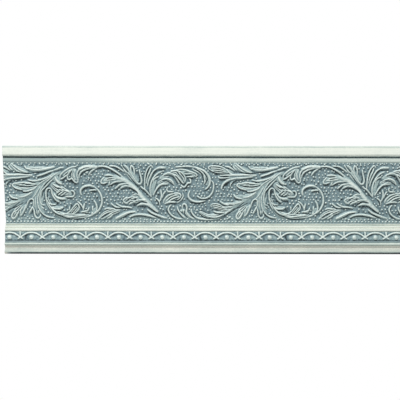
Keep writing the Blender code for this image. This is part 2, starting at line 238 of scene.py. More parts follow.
    rib(1.6, (81.2, 211.6), (85, 211), (87.6, 210), (88.8, 207.4)),
    cut(1.2, (82, 212.4), (87, 213.4), (89, 212.6)),
    # leaf into the main stem
    rib(1.8, (104.4, 175), (109, 174.7), (113.6, 175.6)),
    rib(1.6, (105.4, 178.9), (109.4, 177.6), (114.4, 177.1)),
    rib(1.6, (103.4, 179.9), (107.4, 179.9), (112.4, 179.2), (116, 179)),
    cut(0.9, (106, 176.7), (112, 176.2)), cut(0.9, (107, 179), (112, 178.4)),
    rib(1.6, (104.2, 177), (102, 179), (100.9, 181.6), (101.8, 182.9), (104.2, 182.9), (107, 181.6)),
    rib(1.5, (109.4, 180.6), (109.3, 183), (108.4, 184.6)),
    rib(1.6, (109.6, 184.8), (113, 182.4), (117, 181.1), (123, 180.7)),
    cut(1.4, (100.4, 184.1), (104, 184.5), (107, 183)),
    cut(1.6, (107.4, 186.2), (110.4, 185.7), (113.4, 183.9), (117, 182.4)),
    rib(1.5, (115, 188.5), (117, 186.4), (119.6, 184.4), (124, 183.4), (128, 183.6)),
    rib(1.5, (120.4, 188.2), (122.6, 186.5), (126, 185.4), (131, 186.4)),
    cut(1.5, (114.2, 189.5), (117, 189), (119, 186.9), (121, 185.2)),
    cut(2.2, (121, 188.9), (126, 188.1), (131, 188.6), (135, 190.8), (137.6, 193.2)),
    # the main stem
    stem(5.8, (115, 177.6), (120, 178.2), (125.6, 180.6), (130.6, 184.6), (134.8, 188.4), (139.2, 193.4),
        (143.6, 198.4), (148, 203), (152.4, 207.2), (156.6, 211)),
    rib(2.0, (147.4, 209), (150, 211.2), (153.4, 213.2), (158, 214.9), (162, 216.4), (167, 217.8)),
    cut(1.3, (147.2, 211), (150.4, 213.4), (155, 215.7), (160.4, 217.6)),
    cut(1.5, (148, 206.4), (151, 208.6), (154.6, 211.2), (158, 213)),
    # curls over the stem
    rib(1.3, (121, 164.8), (123.2, 167.4), (124.4, 170), (126.6, 172.4)),
    rib(1.4, (124.2, 164.8), (126.6, 167), (128.4, 169.4), (130.4, 173.2)),
    cut(1.0, (122.2, 165.2), (124.6, 168.6)), cut(1.0, (124.4, 167.4), (127.8, 171.6)),
    rib(1.4, (131, 164.9), (130.4, 168), (130.8, 171), (131.4, 174.4)),
    rib(1.5, (131, 164.9), (133, 167), (134, 170), (134.3, 174.4)),
    rib(1.6, (130.6, 173.4), (133.4, 177), (136, 181.2), (138.4, 183.4), (140.4, 183.2),
        (141.5, 181), (141, 177.6), (140, 174), (139.2, 169.4)),
    cut(1.1, (138.4, 173), (139.4, 177), (139.5, 180), (138.4, 181.8)),
    cut(1.0, (126.4, 172.6), (130.4, 177.4), (135, 183.2), (138.6, 186.9), (142.6, 189.6), (146.4, 193),
        (150.4, 197.8)),
    rib(1.2, (140.4, 185.6), (142.4, 187.8), (144.6, 189), (148.4, 193.2), (151.4, 196.4)),
    rib(1.5, (144.6, 189), (144.5, 184), (144.7, 179), (145.4, 174), (147, 169.4), (150, 165.4),
        (151.6, 165.8), (152.4, 167.4)),
    rib(1.4, (150.6, 167.4), (149.6, 171), (147.8, 175), (146.7, 179), (146.2, 183)),
    cut(1.0, (150.2, 166.8), (148.4, 168.8), (146.8, 173), (146, 178)),
    rib(1.5, (147.4, 185.6), (148.2, 181), (149.6, 177.4), (151.4, 173.6), (154, 170), (157.4, 167.8)),
    rib(2.4, (156.6, 168), (160, 167.1), (165.4, 167.2)),
    cut(1.3, (152.4, 174.4), (154.2, 171.6), (157.4, 169.8), (166, 169.4)),
    rib(1.5, (151.2, 196), (150, 190.4), (150.4, 185), (152, 180), (154.6, 175.8), (157.8, 172.8),
        (161.4, 171.2)),
    rib(1.2, (153, 183), (153.4, 179.6), (155.6, 177.4), (158.4, 176.2)),
    rib(2.0, (153, 194.8), (154.4, 192), (156.4, 188.6), (158.8, 185.6), (162, 183.8), (168, 183.3)),
    cut(1.4, (155.4, 193), (157.8, 189), (160.6, 186.2), (164, 185.4), (168.2, 184.9)),
    # leaf under the stem
    rib(1.5, (127, 196.7), (124.6, 198.3), (123.3, 200), (124.6, 202), (126.8, 202.6),
        (129.4, 201.2), (132.4, 199.8)),
    rib(1.0, (126.4, 198.6), (131, 196.8), (136, 195.6)),
    rib(1.0, (128.4, 199.8), (133, 197.8), (138, 196.6)),
    rib(1.6, (129, 203.8), (132, 202.2), (136, 200.4), (140, 199.4), (146, 199.6)),
    cut(1.0, (127, 198.9), (131, 198)), cut(1.0, (133.6, 199.3), (136, 199)),
    cut(1.0, (128.2, 202.4), (131, 201)), cut(1.2, (125.8, 201), (127.2, 200.2), (129.6, 199.4)),
    cut(1.6, (130, 205), (134, 205.4), (136.6, 204), (139.4, 202), (142.4, 201.4), (147, 202.4)),
    rib(1.8, (136.6, 205.2), (140, 203.9), (144, 203.6), (149, 205.2)),
    cut(1.6, (137.4, 206.5), (143, 206), (147.4, 206.4)),
    rib(1.5, (111, 203), (113.4, 205.2), (116.4, 206.7), (120, 207.2)),
    rib(1.5, (116, 203), (119, 205), (122.4, 206.3), (127, 206.7), (132, 207.6)),
    cut(1.2, (111.4, 205), (115, 207.8), (120, 208.2), (127, 208), (132, 208.8)),
    # feet
    rib(2.2, (98.6, 218.4), (101.4, 215.8), (105, 213.2), (109, 211.6), (114, 210.4)),
    rib(1.6, (101.4, 218.6), (106, 216.4), (110, 214), (114, 211.4), (120, 209.4)),
    rib(1.5, (107, 218), (110, 216.5), (112.8, 214)),
    rib(1.3, (104.4, 209), (107, 208), (111, 208.3), (116, 209.4)),
    cut(1.0, (101.6, 217.2), (105.4, 214.8), (110, 212.6)),
    rib(3.0, (116, 218.3), (119, 216.4), (123, 214.4), (128, 212.3), (135, 211.2)),
    rib(3.0, (115.8, 218.2), (118.4, 216.7), (121.6, 215.1)),
    cut(1.3, (120, 218.8), (125, 216.2), (129, 213.7), (134.4, 212.6)),
    rib(2.2, (129.4, 216.6), (133.4, 214.8), (138, 214), (143, 214.1), (148, 215), (156, 217.2)),
    cut(1.3, (130, 218.1), (134, 216.3), (140, 215.6), (146, 216.4), (152, 217.6)),
    # twigs
    rib(1.4, (155.4, 197.4), (157.6, 199.3), (159, 201), (159.6, 204.6)),
    rib(1.6, (160.6, 189.6), (161.5, 195), (160.6, 198.6), (159.4, 201)),
    cut(1.2, (156, 199.2), (158, 202), (158.8, 205)),
    # fronds
    rib(2.0, (162.4, 175.4), (165, 173.6), (169, 172.6), (173, 174), (176, 177.4), (179, 182.6)),
    cut(1.6, (164, 175.6), (169, 175), (172.4, 176.7), (175, 180), (177.8, 183.8)),
    rib(2.4, (161.6, 179.2), (166, 178.4), (169.4, 179.2), (172, 181), (173.8, 184)),
    cut(1.5, (162, 180.7), (166, 180.5), (169, 181.6), (172, 184), (173.6, 185)),
    # ribbed leaf of the second scroll
    veined(6.0, (171, 171.6), (176, 172.4), (180, 176), (183, 180)),
    rib(1.6, (170, 171.2), (176, 170.3), (181, 172), (184.2, 175.4), (185.3, 179), (184.4, 182.2)),
    rib(1.0, (176, 172.8), (180, 177.6), (183.4, 182.6)),
    rib(1.0, (178.4, 172), (182, 176.2), (184.2, 180.8)),
    rib(1.3, (173.4, 173.4), (177, 176), (181, 181), (183.2, 183)),
    cut(1.1, (175, 175.6), (178, 178.6), (181, 182.2), (183.2, 184.2), (185.6, 182.4)),
    cut(0.8, (176.8, 172.3), (182.6, 179.4)), cut(0.8, (180, 172), (184, 177)),
    rib(1.3, (181, 184.8), (182.6, 186.2), (184.6, 186.6), (186.4, 184.4), (187.6, 182.8),
        (190, 182.2), (190.6, 181), (190, 178.8), (188.4, 177)),
    cut(1.2, (183, 187.9), (185.6, 187.3), (187.6, 184.5), (190.6, 183.6)),
    pad(4.6, (181, 170.8), (187, 172.6), (193, 174.6)),
    rib(1.4, (176, 169.4), (181, 168.9), (186, 169.8), (190.4, 171.4), (194.4, 172.7), (197, 174.8),
        (195, 176.4)),
    rib(1.1, (184, 173.6), (190, 173), (195, 174.6)),
    rib(1.4, (186.6, 176.4), (191, 176.2), (195, 175.2)), cut(0.8, (184, 172.4), (188, 172.2)),
    cut(0.9, (186, 174.9), (192, 174.6)),
    cut(1.3, (187, 178.6), (188, 177.4), (193, 178), (196, 177.1), (198.2, 175.4)),
    # the second ring
    rib(1.3, (175, 166.6), (181, 166.2), (187, 165.8), (193, 166.4)),
    rib(2.4, (193, 166.4), (199, 168.4), (204, 170.6), (207.4, 174), (209.6, 177.6), (210, 181),
        (209.2, 184.4), (207.4, 187), (205.6, 188.8)),
    rib(1.4, (197, 168.2), (201.6, 171.6), (204, 175), (204.8, 179), (204.2, 183.6)),
    cut(1.5, (193.6, 168), (197, 169.8), (200.4, 172.4), (202.6, 176), (203.3, 181)),
    cut(1.2, (203.8, 172.4), (206, 175.4), (207, 179), (206, 182), (204.4, 184)),
    cut(1.5, (209.8, 186), (207.6, 189), (204, 190.4)),
    rib(1.5, (211.2, 180), (213.2, 182.6), (213.6, 186), (213, 190), (211.2, 193.6), (208.6, 196.3),
        (205, 197.9), (200.6, 197.6), (197, 195.6)),
    cut(1.3, (196.6, 196.6), (198.6, 198.9), (204, 199.3), (209, 197.9)),
    rib(2.0, (189.8, 190.4), (188.5, 193), (188.4, 196), (189.7, 198.4), (192.4, 200.2),
        (196.4, 201.3), (200.4, 201.3), (205, 199.8)),
    cut(1.7, (186.6, 197.6), (188.8, 200.8), (193, 202.6), (198, 203.1), (204, 202), (207, 200.4)),
    # bud leaf
    pad(9.0, (166, 200.4), (170, 197.6), (175, 195.6), (178, 195.4)),
    rib(1.4, (175, 192.6), (179, 193.2), (180.8, 195.2), (180, 197.5), (177.4, 199.3)),
    rib(1.1, (163.6, 202.6), (164, 199.6), (167, 196), (171, 193.8), (176, 192.7)),
    rib(1.1, (165.4, 201.4), (168.8, 197.9), (173.4, 195.2), (178.6, 194.5)),
    rib(1.1, (168, 201.8), (171.6, 199), (175.6, 197.2), (179.6, 196.4)),
    cut(0.6, (166.2, 198.8), (169.6, 196), (174.6, 193.9)),
    cut(0.6, (168, 199.9), (172, 197.2), (178, 195.4)),
    cut(0.6, (170.6, 200.9), (174.6, 198.8), (179.4, 197.4)),
    cut(1.2, (174.4, 200.4), (178, 200.2), (180.6, 198)),
    rib(2.0, (164.6, 203.2), (169.6, 201.6), (175.6, 201.6)),
    rib(0.9, (182.5, 193), (183, 196), (181, 199.2), (177, 202.2)),
    cut(0.6, (181.9, 195.4), (180, 199), (177, 201)),
    cut(1.4, (165.4, 204.4), (170, 203.4), (176.4, 203.3)),
    rib(1.1, (167.3, 187.2), (166.7, 189.4), (168.2, 191.1), (173.2, 191.3)),
    cut(0.7, (168, 192.5), (173.6, 192.5)),
    rib(1.1, (165.4, 190.8), (163.4, 193.4), (162, 197.4)),
    # bottom leaves
    rib(1.6, (170.9, 204.4), (169, 206.8), (168.3, 209), (169.2, 212), (171.6, 214.9),
        (174.6, 216.8), (178, 218), (182, 218.4)),
    cut(1.1, (166.8, 210), (168.4, 213.4), (171, 216.1), (175, 218.4)),
    rib(1.8, (177.3, 206.6), (178.2, 209.8), (180.2, 212.7), (182.6, 215.2), (185.4, 217.7)),
    cut(1.2, (176.8, 210), (179, 213.7), (182.4, 217.4)), rib(1.9, (180.9, 209.8), (181.1, 210.9)),
    rib(1.0, (183.3, 209), (183.6, 211.8)),
    rib(1.7, (182.2, 208), (182.5, 204.8), (184.3, 203.5), (186.1, 205), (186.8, 208), (186.4, 211),
        (187.8, 214), (190.4, 216.6), (194, 218.4)),
    cut(1.0, (184.8, 210), (184.6, 213.4), (187.6, 217.2)),
    rib(1.7, (191.3, 208.4), (191.3, 211), (192.7, 213.7), (195.2, 216.2), (199, 217.9),
        (206, 218.9), (213, 218.6), (219, 217.6)),
    cut(1.3, (190.3, 212), (191.9, 215), (194.6, 217.4)),
    stem(3.6, (200.4, 211.6), (205, 214.4), (210, 216.2), (216, 216.6), (221, 215.4), (226, 212.6)),
    cut(1.3, (199, 213), (203, 216.2), (208, 217.9), (214, 217.8)),
    # leaves of the next vine, at the right of the repeat
    pad(6.4, (212, 168.6), (218, 169.2), (225, 170.8), (232, 172)),
    rib(1.1, (210.6, 165.6), (208.8, 166.4), (208.8, 168.2), (211.6, 170.6), (217, 172), (224, 172.5)),
    rib(1.1, (210.6, 165.5), (215, 165.6), (220, 166.2), (224, 167.9), (228, 170.4)),
    rib(1.1, (210.8, 167.6), (215, 167.8), (220, 168.4), (225, 170)),
    rib(1.1, (212.4, 169.6), (216, 169.9), (221, 170.4), (226, 171.4)),
    cut(0.6, (211.6, 166.6), (217, 166.8), (222, 168.1)),
    cut(0.6, (212.4, 168.7), (217, 168.9), (223, 170.2)),
    cut(0.6, (213.6, 170.8), (218, 171.2), (224, 171.8)),
    cut(1.2, (209, 169.6), (212, 171.3), (216, 172.8), (222, 173.6), (229, 173.3)),
    rib(1.3, (225.4, 166), (229, 166.6), (232, 168.4), (234.6, 170)),
    rib(1.7, (220, 175), (225, 174.8), (234, 174.8), (240, 174.8)),
    rib(1.7, (218.3, 176.4), (220, 177.6), (225, 177.5), (230, 176.8)),
    cut(1.1, (221, 176.3), (228.4, 176.2)), cut(1.0, (218.6, 178.4), (222, 178.6), (228, 178.1)),
    rib(2.4, (221.4, 188.6), (221.9, 186), (223.6, 183), (226.2, 180.8), (230, 179.2)),
    cut(1.3, (222.9, 188.4), (223.8, 185.6), (226, 183.2), (229.6, 181.2)),
    rib(1.3, (230.4, 186), (230.8, 183.4), (232.4, 181.4), (235.4, 180.2)),
    cut(1.2, (231, 184.6), (233.2, 182.4), (237, 181)),
    rib(2.0, (220.4, 201), (222.2, 202.4), (225.4, 203.8), (230, 204.5), (235, 204.2)),
    cut(1.2, (220, 203), (223, 205), (227.4, 205.8)),
    veined(4.0, (214, 205.4), (220, 207), (226, 208.4), (231, 208)),
    rib(0.9, (211.4, 206.4), (210.9, 204.8), (212.6, 203.6), (217, 203.6), (222, 205.4), (228, 207.2)),
    rib(1.1, (212, 205.4), (217, 205.6), (222, 207), (227, 208.6)),
    rib(1.1, (213.6, 207.4), (218, 207.6), (223, 208.9), (228, 210)),
    rib(0.9, (216.4, 209.4), (221, 209.8), (226, 211)), cut(0.6, (213.6, 204.5), (218, 204.6), (222, 206.2)),
    cut(0.6, (213.6, 206.4), (218, 206.6), (224, 208.2)),
    cut(0.6, (215.6, 208.5), (220, 208.7), (226, 210.2)),
    cut(1.1, (210, 206.8), (212.2, 209.2), (216, 209.6), (221, 210.4)),
    rib(1.7, (213.8, 210.6), (217, 211.9), (224.4, 212.2)),
    cut(1.3, (213.2, 212.2), (217, 213.5), (225, 213.4)),
    rib(1.2, (227, 218.4), (229, 217), (230.6, 216.4)),
    # bodies of the leaves
    pad(6.0, (0, 176), (10, 176.4), (20, 175.8), (31, 175)),
    pad(6.5, (9, 165), (14, 167.5), (20, 170), (27, 172)),
    pad(9.0, (13, 185.6), (22, 186.2), (32, 185.4), (40, 182.4)),
    pad(6.0, (10, 196), (18, 197), (26, 195.4), (33, 191)),
    pad(6.4, (-4, 206.6), (4, 205.6), (12, 203), (20, 198.6), (28, 193), (34, 188), (42, 181.6)),
    pad(5.0, (36, 187), (44, 181.2), (52, 176), (60, 172)),
    bed(8.0, (-2, 212), (6, 210.6), (14, 206.6), (22, 201), (30, 194.4), (38, 187.4), (46, 180)),
    pad(6.4, (206, 216), (214, 215.4), (222, 212), (229, 208.4), (236, 204.4)),
    rib(1.7, (212, 217), (218, 216.2), (223, 214), (228, 211), (233, 207.6)),
    cut(0.9, (214, 218.6), (221, 216.4), (227, 213.6), (233, 210.2), (239, 206), (244, 201.6)),
    pad(9.0, (42, 184), (38, 192), (35.6, 200), (36.4, 208)),
    pad(6.0, (41, 190), (40.5, 198), (39.6, 206), (43, 213)),
    veined(6.0, (21, 206), (16, 211), (13, 217)), pad(4.4, (25, 205), (22, 210), (20, 215)),
    veined(9.0, (52, 184), (58, 188), (64, 192), (70, 194)),
    pad(5.0, (52, 192), (56, 196.6), (60, 199), (66, 198)), pad(7.0, (52, 174), (57, 180), (60, 183)),
    veined(6.0, (46.4, 198), (50, 205.6), (56, 212), (64, 215), (76, 216), (88, 215)),
    pad(5.0, (50, 206), (57, 208), (63, 207.4)),
    pad(5.4, (78, 172), (83, 168), (90, 166.4), (97, 166.6)),
    pad(8.4, (102, 181), (110, 179), (118, 178.4), (126, 180)),
    pad(4.0, (116, 187), (124, 184.6), (132, 186)),
    veined(7.0, (125, 200.6), (131, 199.4), (138, 200)), pad(7.0, (136, 200), (144, 200.6), (150, 203)),
    pad(6.4, (130, 198), (136, 196), (142, 197), (147, 200.6)),
    rib(1.0, (131.4, 195.6), (135, 193.9), (139, 194.2)),
    veined(7.0, (100.6, 217), (108, 212.8), (119, 209.4)),
    pad(5.0, (117, 217.6), (125, 213.6), (136, 211.8)),
    pad(4.4, (130, 216.6), (140, 214.6), (155, 216.6)),
    pad(8.0, (124, 166), (128, 171), (133, 177), (137, 182)),
    pad(4.6, (152, 194), (153, 186), (155.6, 180)), pad(4.6, (160, 178), (165, 175.4), (171, 173.6)),
    veined(5.0, (158, 183), (166, 180), (172, 182)),
    veined(6.4, (193, 167.6), (201, 171), (206, 177), (207.4, 184)),
    veined(5.2, (200, 212), (208, 215.8), (216, 216.4), (225, 213.4)),
    pad(4.4, (182, 209), (185.4, 212), (190, 217)), pad(4.0, (84, 213.4), (87, 211.4)),
    pad(4.0, (92, 212), (96, 208)),
)


def smooth_line(points: tuple[Point, ...], step: float) -> Field:
    """Lay a smooth curve through the points of a stroke.

    Args:
        points: the stroke's points.
        step: the distance between two neighbouring points of the result.

    Returns:
        The curve as rows of (along, down). A single point stays as it is.
    """
    knots = np.array(points, dtype=float)
    if len(knots) == 1:
        return knots
    knots = np.vstack([2 * knots[0] - knots[1], knots, 2 * knots[-1] - knots[-2]])
    pieces = []
    for before, start, end, after in zip(knots[:-3], knots[1:-2], knots[2:-1], knots[3:]):
        count = max(2, int(np.hypot(*(end - start)) / step))
        t = np.linspace(0, 1, count, endpoint=False)[:, None]
        pieces.append(0.5 * (2 * start + (end - before) * t
                             + (2 * before - 5 * start + 4 * end - after) * t ** 2
                             + (3 * start - before - 3 * end + after) * t ** 3))
    return np.vstack(pieces + [knots[-2:-1]])


def soften(values: Field, width: float) -> Field:
    """Blur an evenly spaced field with a bell curve.

    Args:
        values: the field.
        width: the bell's standard deviation, in samples.

    Returns:
        The blurred field, of the same shape.
    """
    rim = int(4 * width) + 2
    padded = np.pad(values, rim, mode="edge")
    down = np.fft.fftfreq(padded.shape[0])[:, None]
    along = np.fft.rfftfreq(padded.shape[1])[None, :]
    bell = np.exp(-2 * (math.pi * width) ** 2 * (down ** 2 + along ** 2))
    blurred = np.fft.irfft2(np.fft.rfft2(padded) * bell, s=padded.shape)
    return blurred[rim:-rim, rim:-rim]


def ease(values: Field, low: float, high: float) -> Field:
    """Return how far each value lies from low to high, held between 0 and 1."""
    return np.clip((values - low) / (high - low), 0.0, 1.0)


def put_in_scene(name: str, data: bpy.types.ID) -> bpy.types.Object:
    """Put an object into the scene.

    Args:
        name: the object's name.
        data: its mesh, light or camera.

    Returns:
        The object.
    """
    thing = bpy.data.objects.new(name, data)
    bpy.context.scene.collection.objects.link(thing)
    return thing


class Crown(Enum):
    """How flat a raised form is on top: 1 is a round dome, and more is flatter."""

    DOME = 1.0
    STEM = 1.3
    RIB_BODY = 1.6
    DOT = 2.0
    LEAF = 2.5


@dataclass(frozen=True)
class Ridge:
    """How wide, how high and how flat on top a raised form or a groove is."""

    radius: float
    rise: float
    crown: Crown = Crown.DOME


@dataclass
class Patch:
    """A flat patch that is held as evenly spaced samples, row by row."""

    left: float
    first: float
    right: float
    last: float
    per_mm: float = 5.0

    def blank(self) -> Field:
        """Return an empty field of the patch."""
        rows = round((self.last - self.first) * self.per_mm) + 1
        return np.zeros((rows, round((self.right - self.left) * self.per_mm) + 1))

    def raise_along(self, values: Field, line: Field, radii: Field | float, rises: Field | float,
                    crown: Crown = Crown.DOME) -> None:
        """Raise a rounded ridge along a line, over what stands there already.

        Args:
            values: the field, which is changed.
            line: the ridge's points.
            radii: half the ridge's width, in all or at each point.
            rises: the ridge's height, in all or at each point.
            crown: how flat the ridge's top is.
        """
        places = (line - (self.left, self.first)) * self.per_mm
        radii, rises = (np.broadcast_to(part, len(line)) for part in (radii, rises))
        for (x, y), radius, rise in zip(places, radii * self.per_mm, rises):
            x0, x1 = max(0, int(x - radius)), min(values.shape[1], int(x + radius) + 2)
            y0, y1 = max(0, int(y - radius)), min(values.shape[0], int(y + radius) + 2)
            if x0 >= x1 or y0 >= y1:
                continue
            down, along = np.ogrid[y0:y1, x0:x1]
            nearness = np.minimum(((along - x) ** 2 + (down - y) ** 2) / radius ** 2, 1.0)
            window = values[y0:y1, x0:x1]
            np.maximum(window, rise * (1 - nearness ** crown.value), out=window)

    def raise_ridge(self, values: Field, line: Field, ridge: Ridge, size: Field | float = 1.0) -> None:
        """Raise one kind of ridge along a line, smaller or larger where size says so."""
        self.raise_along(values, line, size * ridge.radius, size * ridge.rise, ridge.crown)

    def read(self, values: Field, along: Field, down: Field) -> Field:
        """Read a field between its samples, and 0 outside the patch.

        Args:
            values: the field.
            along: the places' distances along.
            down: the places' distances across the rows.

        Returns:
            The field's value at each place.
        """
        x = (along - self.left) * self.per_mm
        y = (down - self.first) * self.per_mm
        rows, columns = values.shape
        inside = (x >= 0) & (x <= columns - 1) & (y >= 0) & (y <= rows - 1)
        x, y = np.clip(x, 0, columns - 1.001), np.clip(y, 0, rows - 1.001)
        i, j = x.astype(int), y.astype(int)
        u, v = x - i, y - j
        near = values[j, i] * (1 - u) + values[j, i + 1] * u
        far = values[j + 1, i] * (1 - u) + values[j + 1, i + 1] * u
        return np.where(inside, near * (1 - v) + far * v, 0.0)


@dataclass(frozen=True)
class Sight:
    """Where the eye stands that the drawing shows the strip to, and how it looks."""

    middle: Point = (199.9, 199.5)
    eye_along: float = -4.8
    eye_out: float = 818.5
    eye_up: float = 0.34
    tilt: float = -0.07
    reach: float = 800.0
    carving_middle: float = 1.5
    rounds: int = 3

    def larger(self, depths: Field) -> Field:
        """Return how much larger than life carving on each depth is drawn."""
        return self.reach / (self.eye_out - depths - self.carving_middle)

    def along(self, x: Field, depths: Field) -> Field:
        """Return how far along the drawing places on the strip come."""
        return self.middle[0] + self.larger(depths) * (x - self.eye_along)

    def down(self, heights: Field, depths: Field) -> Field:
        """Return how far down the drawing heights on the strip come."""
        return self.middle[1] + self.larger(depths) * (self.eye_up - heights)

    def height(self, down: Field, depth_at: Callable[[Field], Field]) -> Field:
        """Find the heights on the strip that distances down the drawing show.

        Args:
            down: the distances down the drawing.
            depth_at: gives the face's depth at a height.

        Returns:
            The heights, which a few rounds of the search bring close enough.
        """
        heights = self.middle[1] - down
        for _ in range(self.rounds):
            heights = self.eye_up - (down - self.middle[1]) / self.larger(depth_at(heights))
        return heights


@dataclass
class Section:
    """The strip's section, from the top edge to the bottom edge, as (height, depth)."""

    corners: tuple[Point, ...] = (
        (53.75, 28.9), (53.2, 29.8), (52.4, 30.0), (45.6, 30.0), (44.4, 29.5), (43.6, 28.2),
        (42.8, 26.2), (42.0, 27.2), (38.2, 27.1), (37.6, 26.4),
        (-22.7, 13.0), (-23.0, 14.8), (-24.2, 14.9), (-25.1, 14.1), (-25.7, 16.2), (-26.9, 16.5),
        (-27.8, 15.8), (-28.6, 18.3), (-30.2, 18.5), (-31.2, 17.1),
        (-40.7, 17.0), (-41.7, 17.7), (-42.5, 17.3), (-43.2, 19.6), (-44.2, 19.7), (-45.3, 17.6),
        (-47.0, 16.8), (-49.0, 17.3), (-51.6, 19.2), (-52.4, 19.0), (-53.75, 17.2),
    )
    frieze: Point = (-22.7, 37.2)
    band: Point = (-40.7, -31.2)
    ease_length: float = 0.3
    ease_share: float = 0.3
    carved_step: float = 0.36
    plain_step: float = 1.4

    def eased(self) -> Field:
        """Take the arris off each corner.

        Returns:
            The corners from the bottom up, as rows of (height, depth).
        """
        points = np.array(self.corners[::-1])
        result = [points[0]]
        for before, corner, after in zip(points[:-2], points[1:-1], points[2:]):
            back, on = before - corner, after - corner
            cut_back = min(self.ease_length, *(self.ease_share * np.hypot(*side) for side in (back, on)))
            start = corner + back / np.hypot(*back) * cut_back
            end = corner + on / np.hypot(*on) * cut_back
            result += [start, 0.25 * start + 0.5 * corner + 0.25 * end, end]
        return np.array(result + [points[-1]])

    def depth_at(self, heights: Field) -> Field:
        """Return how far the uncarved face stands out at each height."""
        profile = self.eased()
        return np.interp(heights, profile[:, 0], profile[:, 1])

    def rows(self) -> Field:
        """Space the face's rows, closer together where it is carved.

        Returns:
            The rows' heights.
        """
        profile = self.eased()[:, 0]
        heights = []
        for low, high in zip(profile[:-1], profile[1:]):
            carved = any(foot < (low + high) / 2 < top for foot, top in (self.frieze, self.band))
            parts = max(1, round((high - low) / (self.carved_step if carved else self.plain_step)))
            heights += [low + (high - low) * part / parts for part in range(parts)]
        return np.array(heights + [profile[-1]])


@dataclass
class Frieze:
    """The scrolling leaves, which repeat along the strip."""

    # the part of the drawing that holds one repeat: left, top, right and bottom
    drawn: Box = (-12.0, 158.0, 248.0, 226.0)
    repeat: float = 224.6
    turns: tuple[int, ...] = (-1, 0, 1)
    # how far the next repeat wanders from the first, and where along the drawing
    gain: float = 2.6
    gain_span: Point = (244.0, 300.0)
    lean: float = 0.06
    lean_span: Point = (250.0, 300.0)
    middle: float = 191.0
    step: float = 0.15
    # the shares of a stroke's width that are left at its ends, and how soon it swells
    ends: float = 0.45
    stem_ends: float = 0.75
    swelling: float = 0.45
    body_rise: float = 1.0
    bed_rise: float = 0.42
    stem_rise: float = 1.9
    rib_rise: float = 1.1
    rib_share: float = 0.62
    rib_margin: float = 0.16
    rib_body_rise: float = 0.9
    body_margin: float = 0.6
    cut_margin: float = 0.14
    cut_depth: float = 1.1
    floor: float = -0.35
    vein_spacing: float = 1.9
    vein: Ridge = Ridge(0.62, 0.55)
    furrow: Ridge = Ridge(0.5, 0.34)
    furrow_span: Point = (0.5, 0.7)

    def drift(self, along: Field, down: Field) -> Field:
        """Return places on the drawing, let out of true as the carver's hand drifted."""
        gained = along + self.gain * ease(along, *self.gain_span)
        return gained + self.lean * (down - self.middle) * ease(along, *self.lean_span)

    def lay_veins(self, patch: Patch, fields: dict[str, Field], line: Field, halves: Field) -> None:
        """Lay fine veins side by side along a leaf's body, with furrows between them.

        Args:
            patch: the patch of the drawing.
            fields: the ribs and furrows, which are changed.
            line: the body's middle line.
            halves: half the body's width at each point.
        """
        run = np.gradient(line, axis=0)
        across = np.column_stack([-run[:, 1], run[:, 0]]) / np.hypot(*run.T)[:, None]
        count = max(2, round(2 * halves.max() / self.vein_spacing))
        for place in range(2 * count - 1):
            beside = line + across * (halves * ((place + 1) / count - 1))[:, None]
            name, ridge = ("furrow", self.furrow) if place % 2 else ("rib", self.vein)
            patch.raise_ridge(fields[name], beside, ridge)

    def carve(self) -> tuple[Patch, dict[str, Field]]:
        """Carve one repeat on the drawing.

        Returns:
            The patch of the drawing that it fills, and its bodies, ribs and cuts.
        """
        patch = Patch(*self.drawn)
        fields = {name: patch.blank() for name in ("body", "rib", "cut", "furrow")}
        for stroke in SCROLLWORK:
            line = smooth_line(stroke.points, self.step)
            belly = np.clip(np.sin(np.pi * np.linspace(0, 1, len(line))), 0, 1) ** self.swelling
            half, swell = stroke.width / 2, self.ends + (1 - self.ends) * belly
            if stroke.tool is Tool.RIB:
                patch.raise_along(fields["rib"], line, (half * self.rib_share + self.rib_margin) * swell,
                                  self.rib_rise * swell)
                patch.raise_along(fields["body"], line, half * swell + self.body_margin,
                                  self.rib_body_rise * swell, Crown.RIB_BODY)
            elif stroke.tool is Tool.STEM:
                swell = self.stem_ends + (1 - self.stem_ends) * belly
                patch.raise_along(fields["body"], line, half * swell, self.stem_rise * swell, Crown.STEM)
            elif stroke.tool is Tool.CUT:
                patch.raise_along(fields["cut"], line, half * swell + self.cut_margin, swell)
            else:
                rise = self.bed_rise if stroke.tool is Tool.BED else self.body_rise
                patch.raise_along(fields["body"], line, half * swell, rise * swell, Crown.LEAF)
            if stroke.tool is Tool.VEINED:
                self.lay_veins(patch, fields, line, half * swell)
        # the ribs run on over the furrows
        furrows = fields.pop("furrow") * (1 - ease(fields["rib"], *self.furrow_span))
        fields["cut"] = np.maximum(fields["cut"], furrows)
        return patch, fields


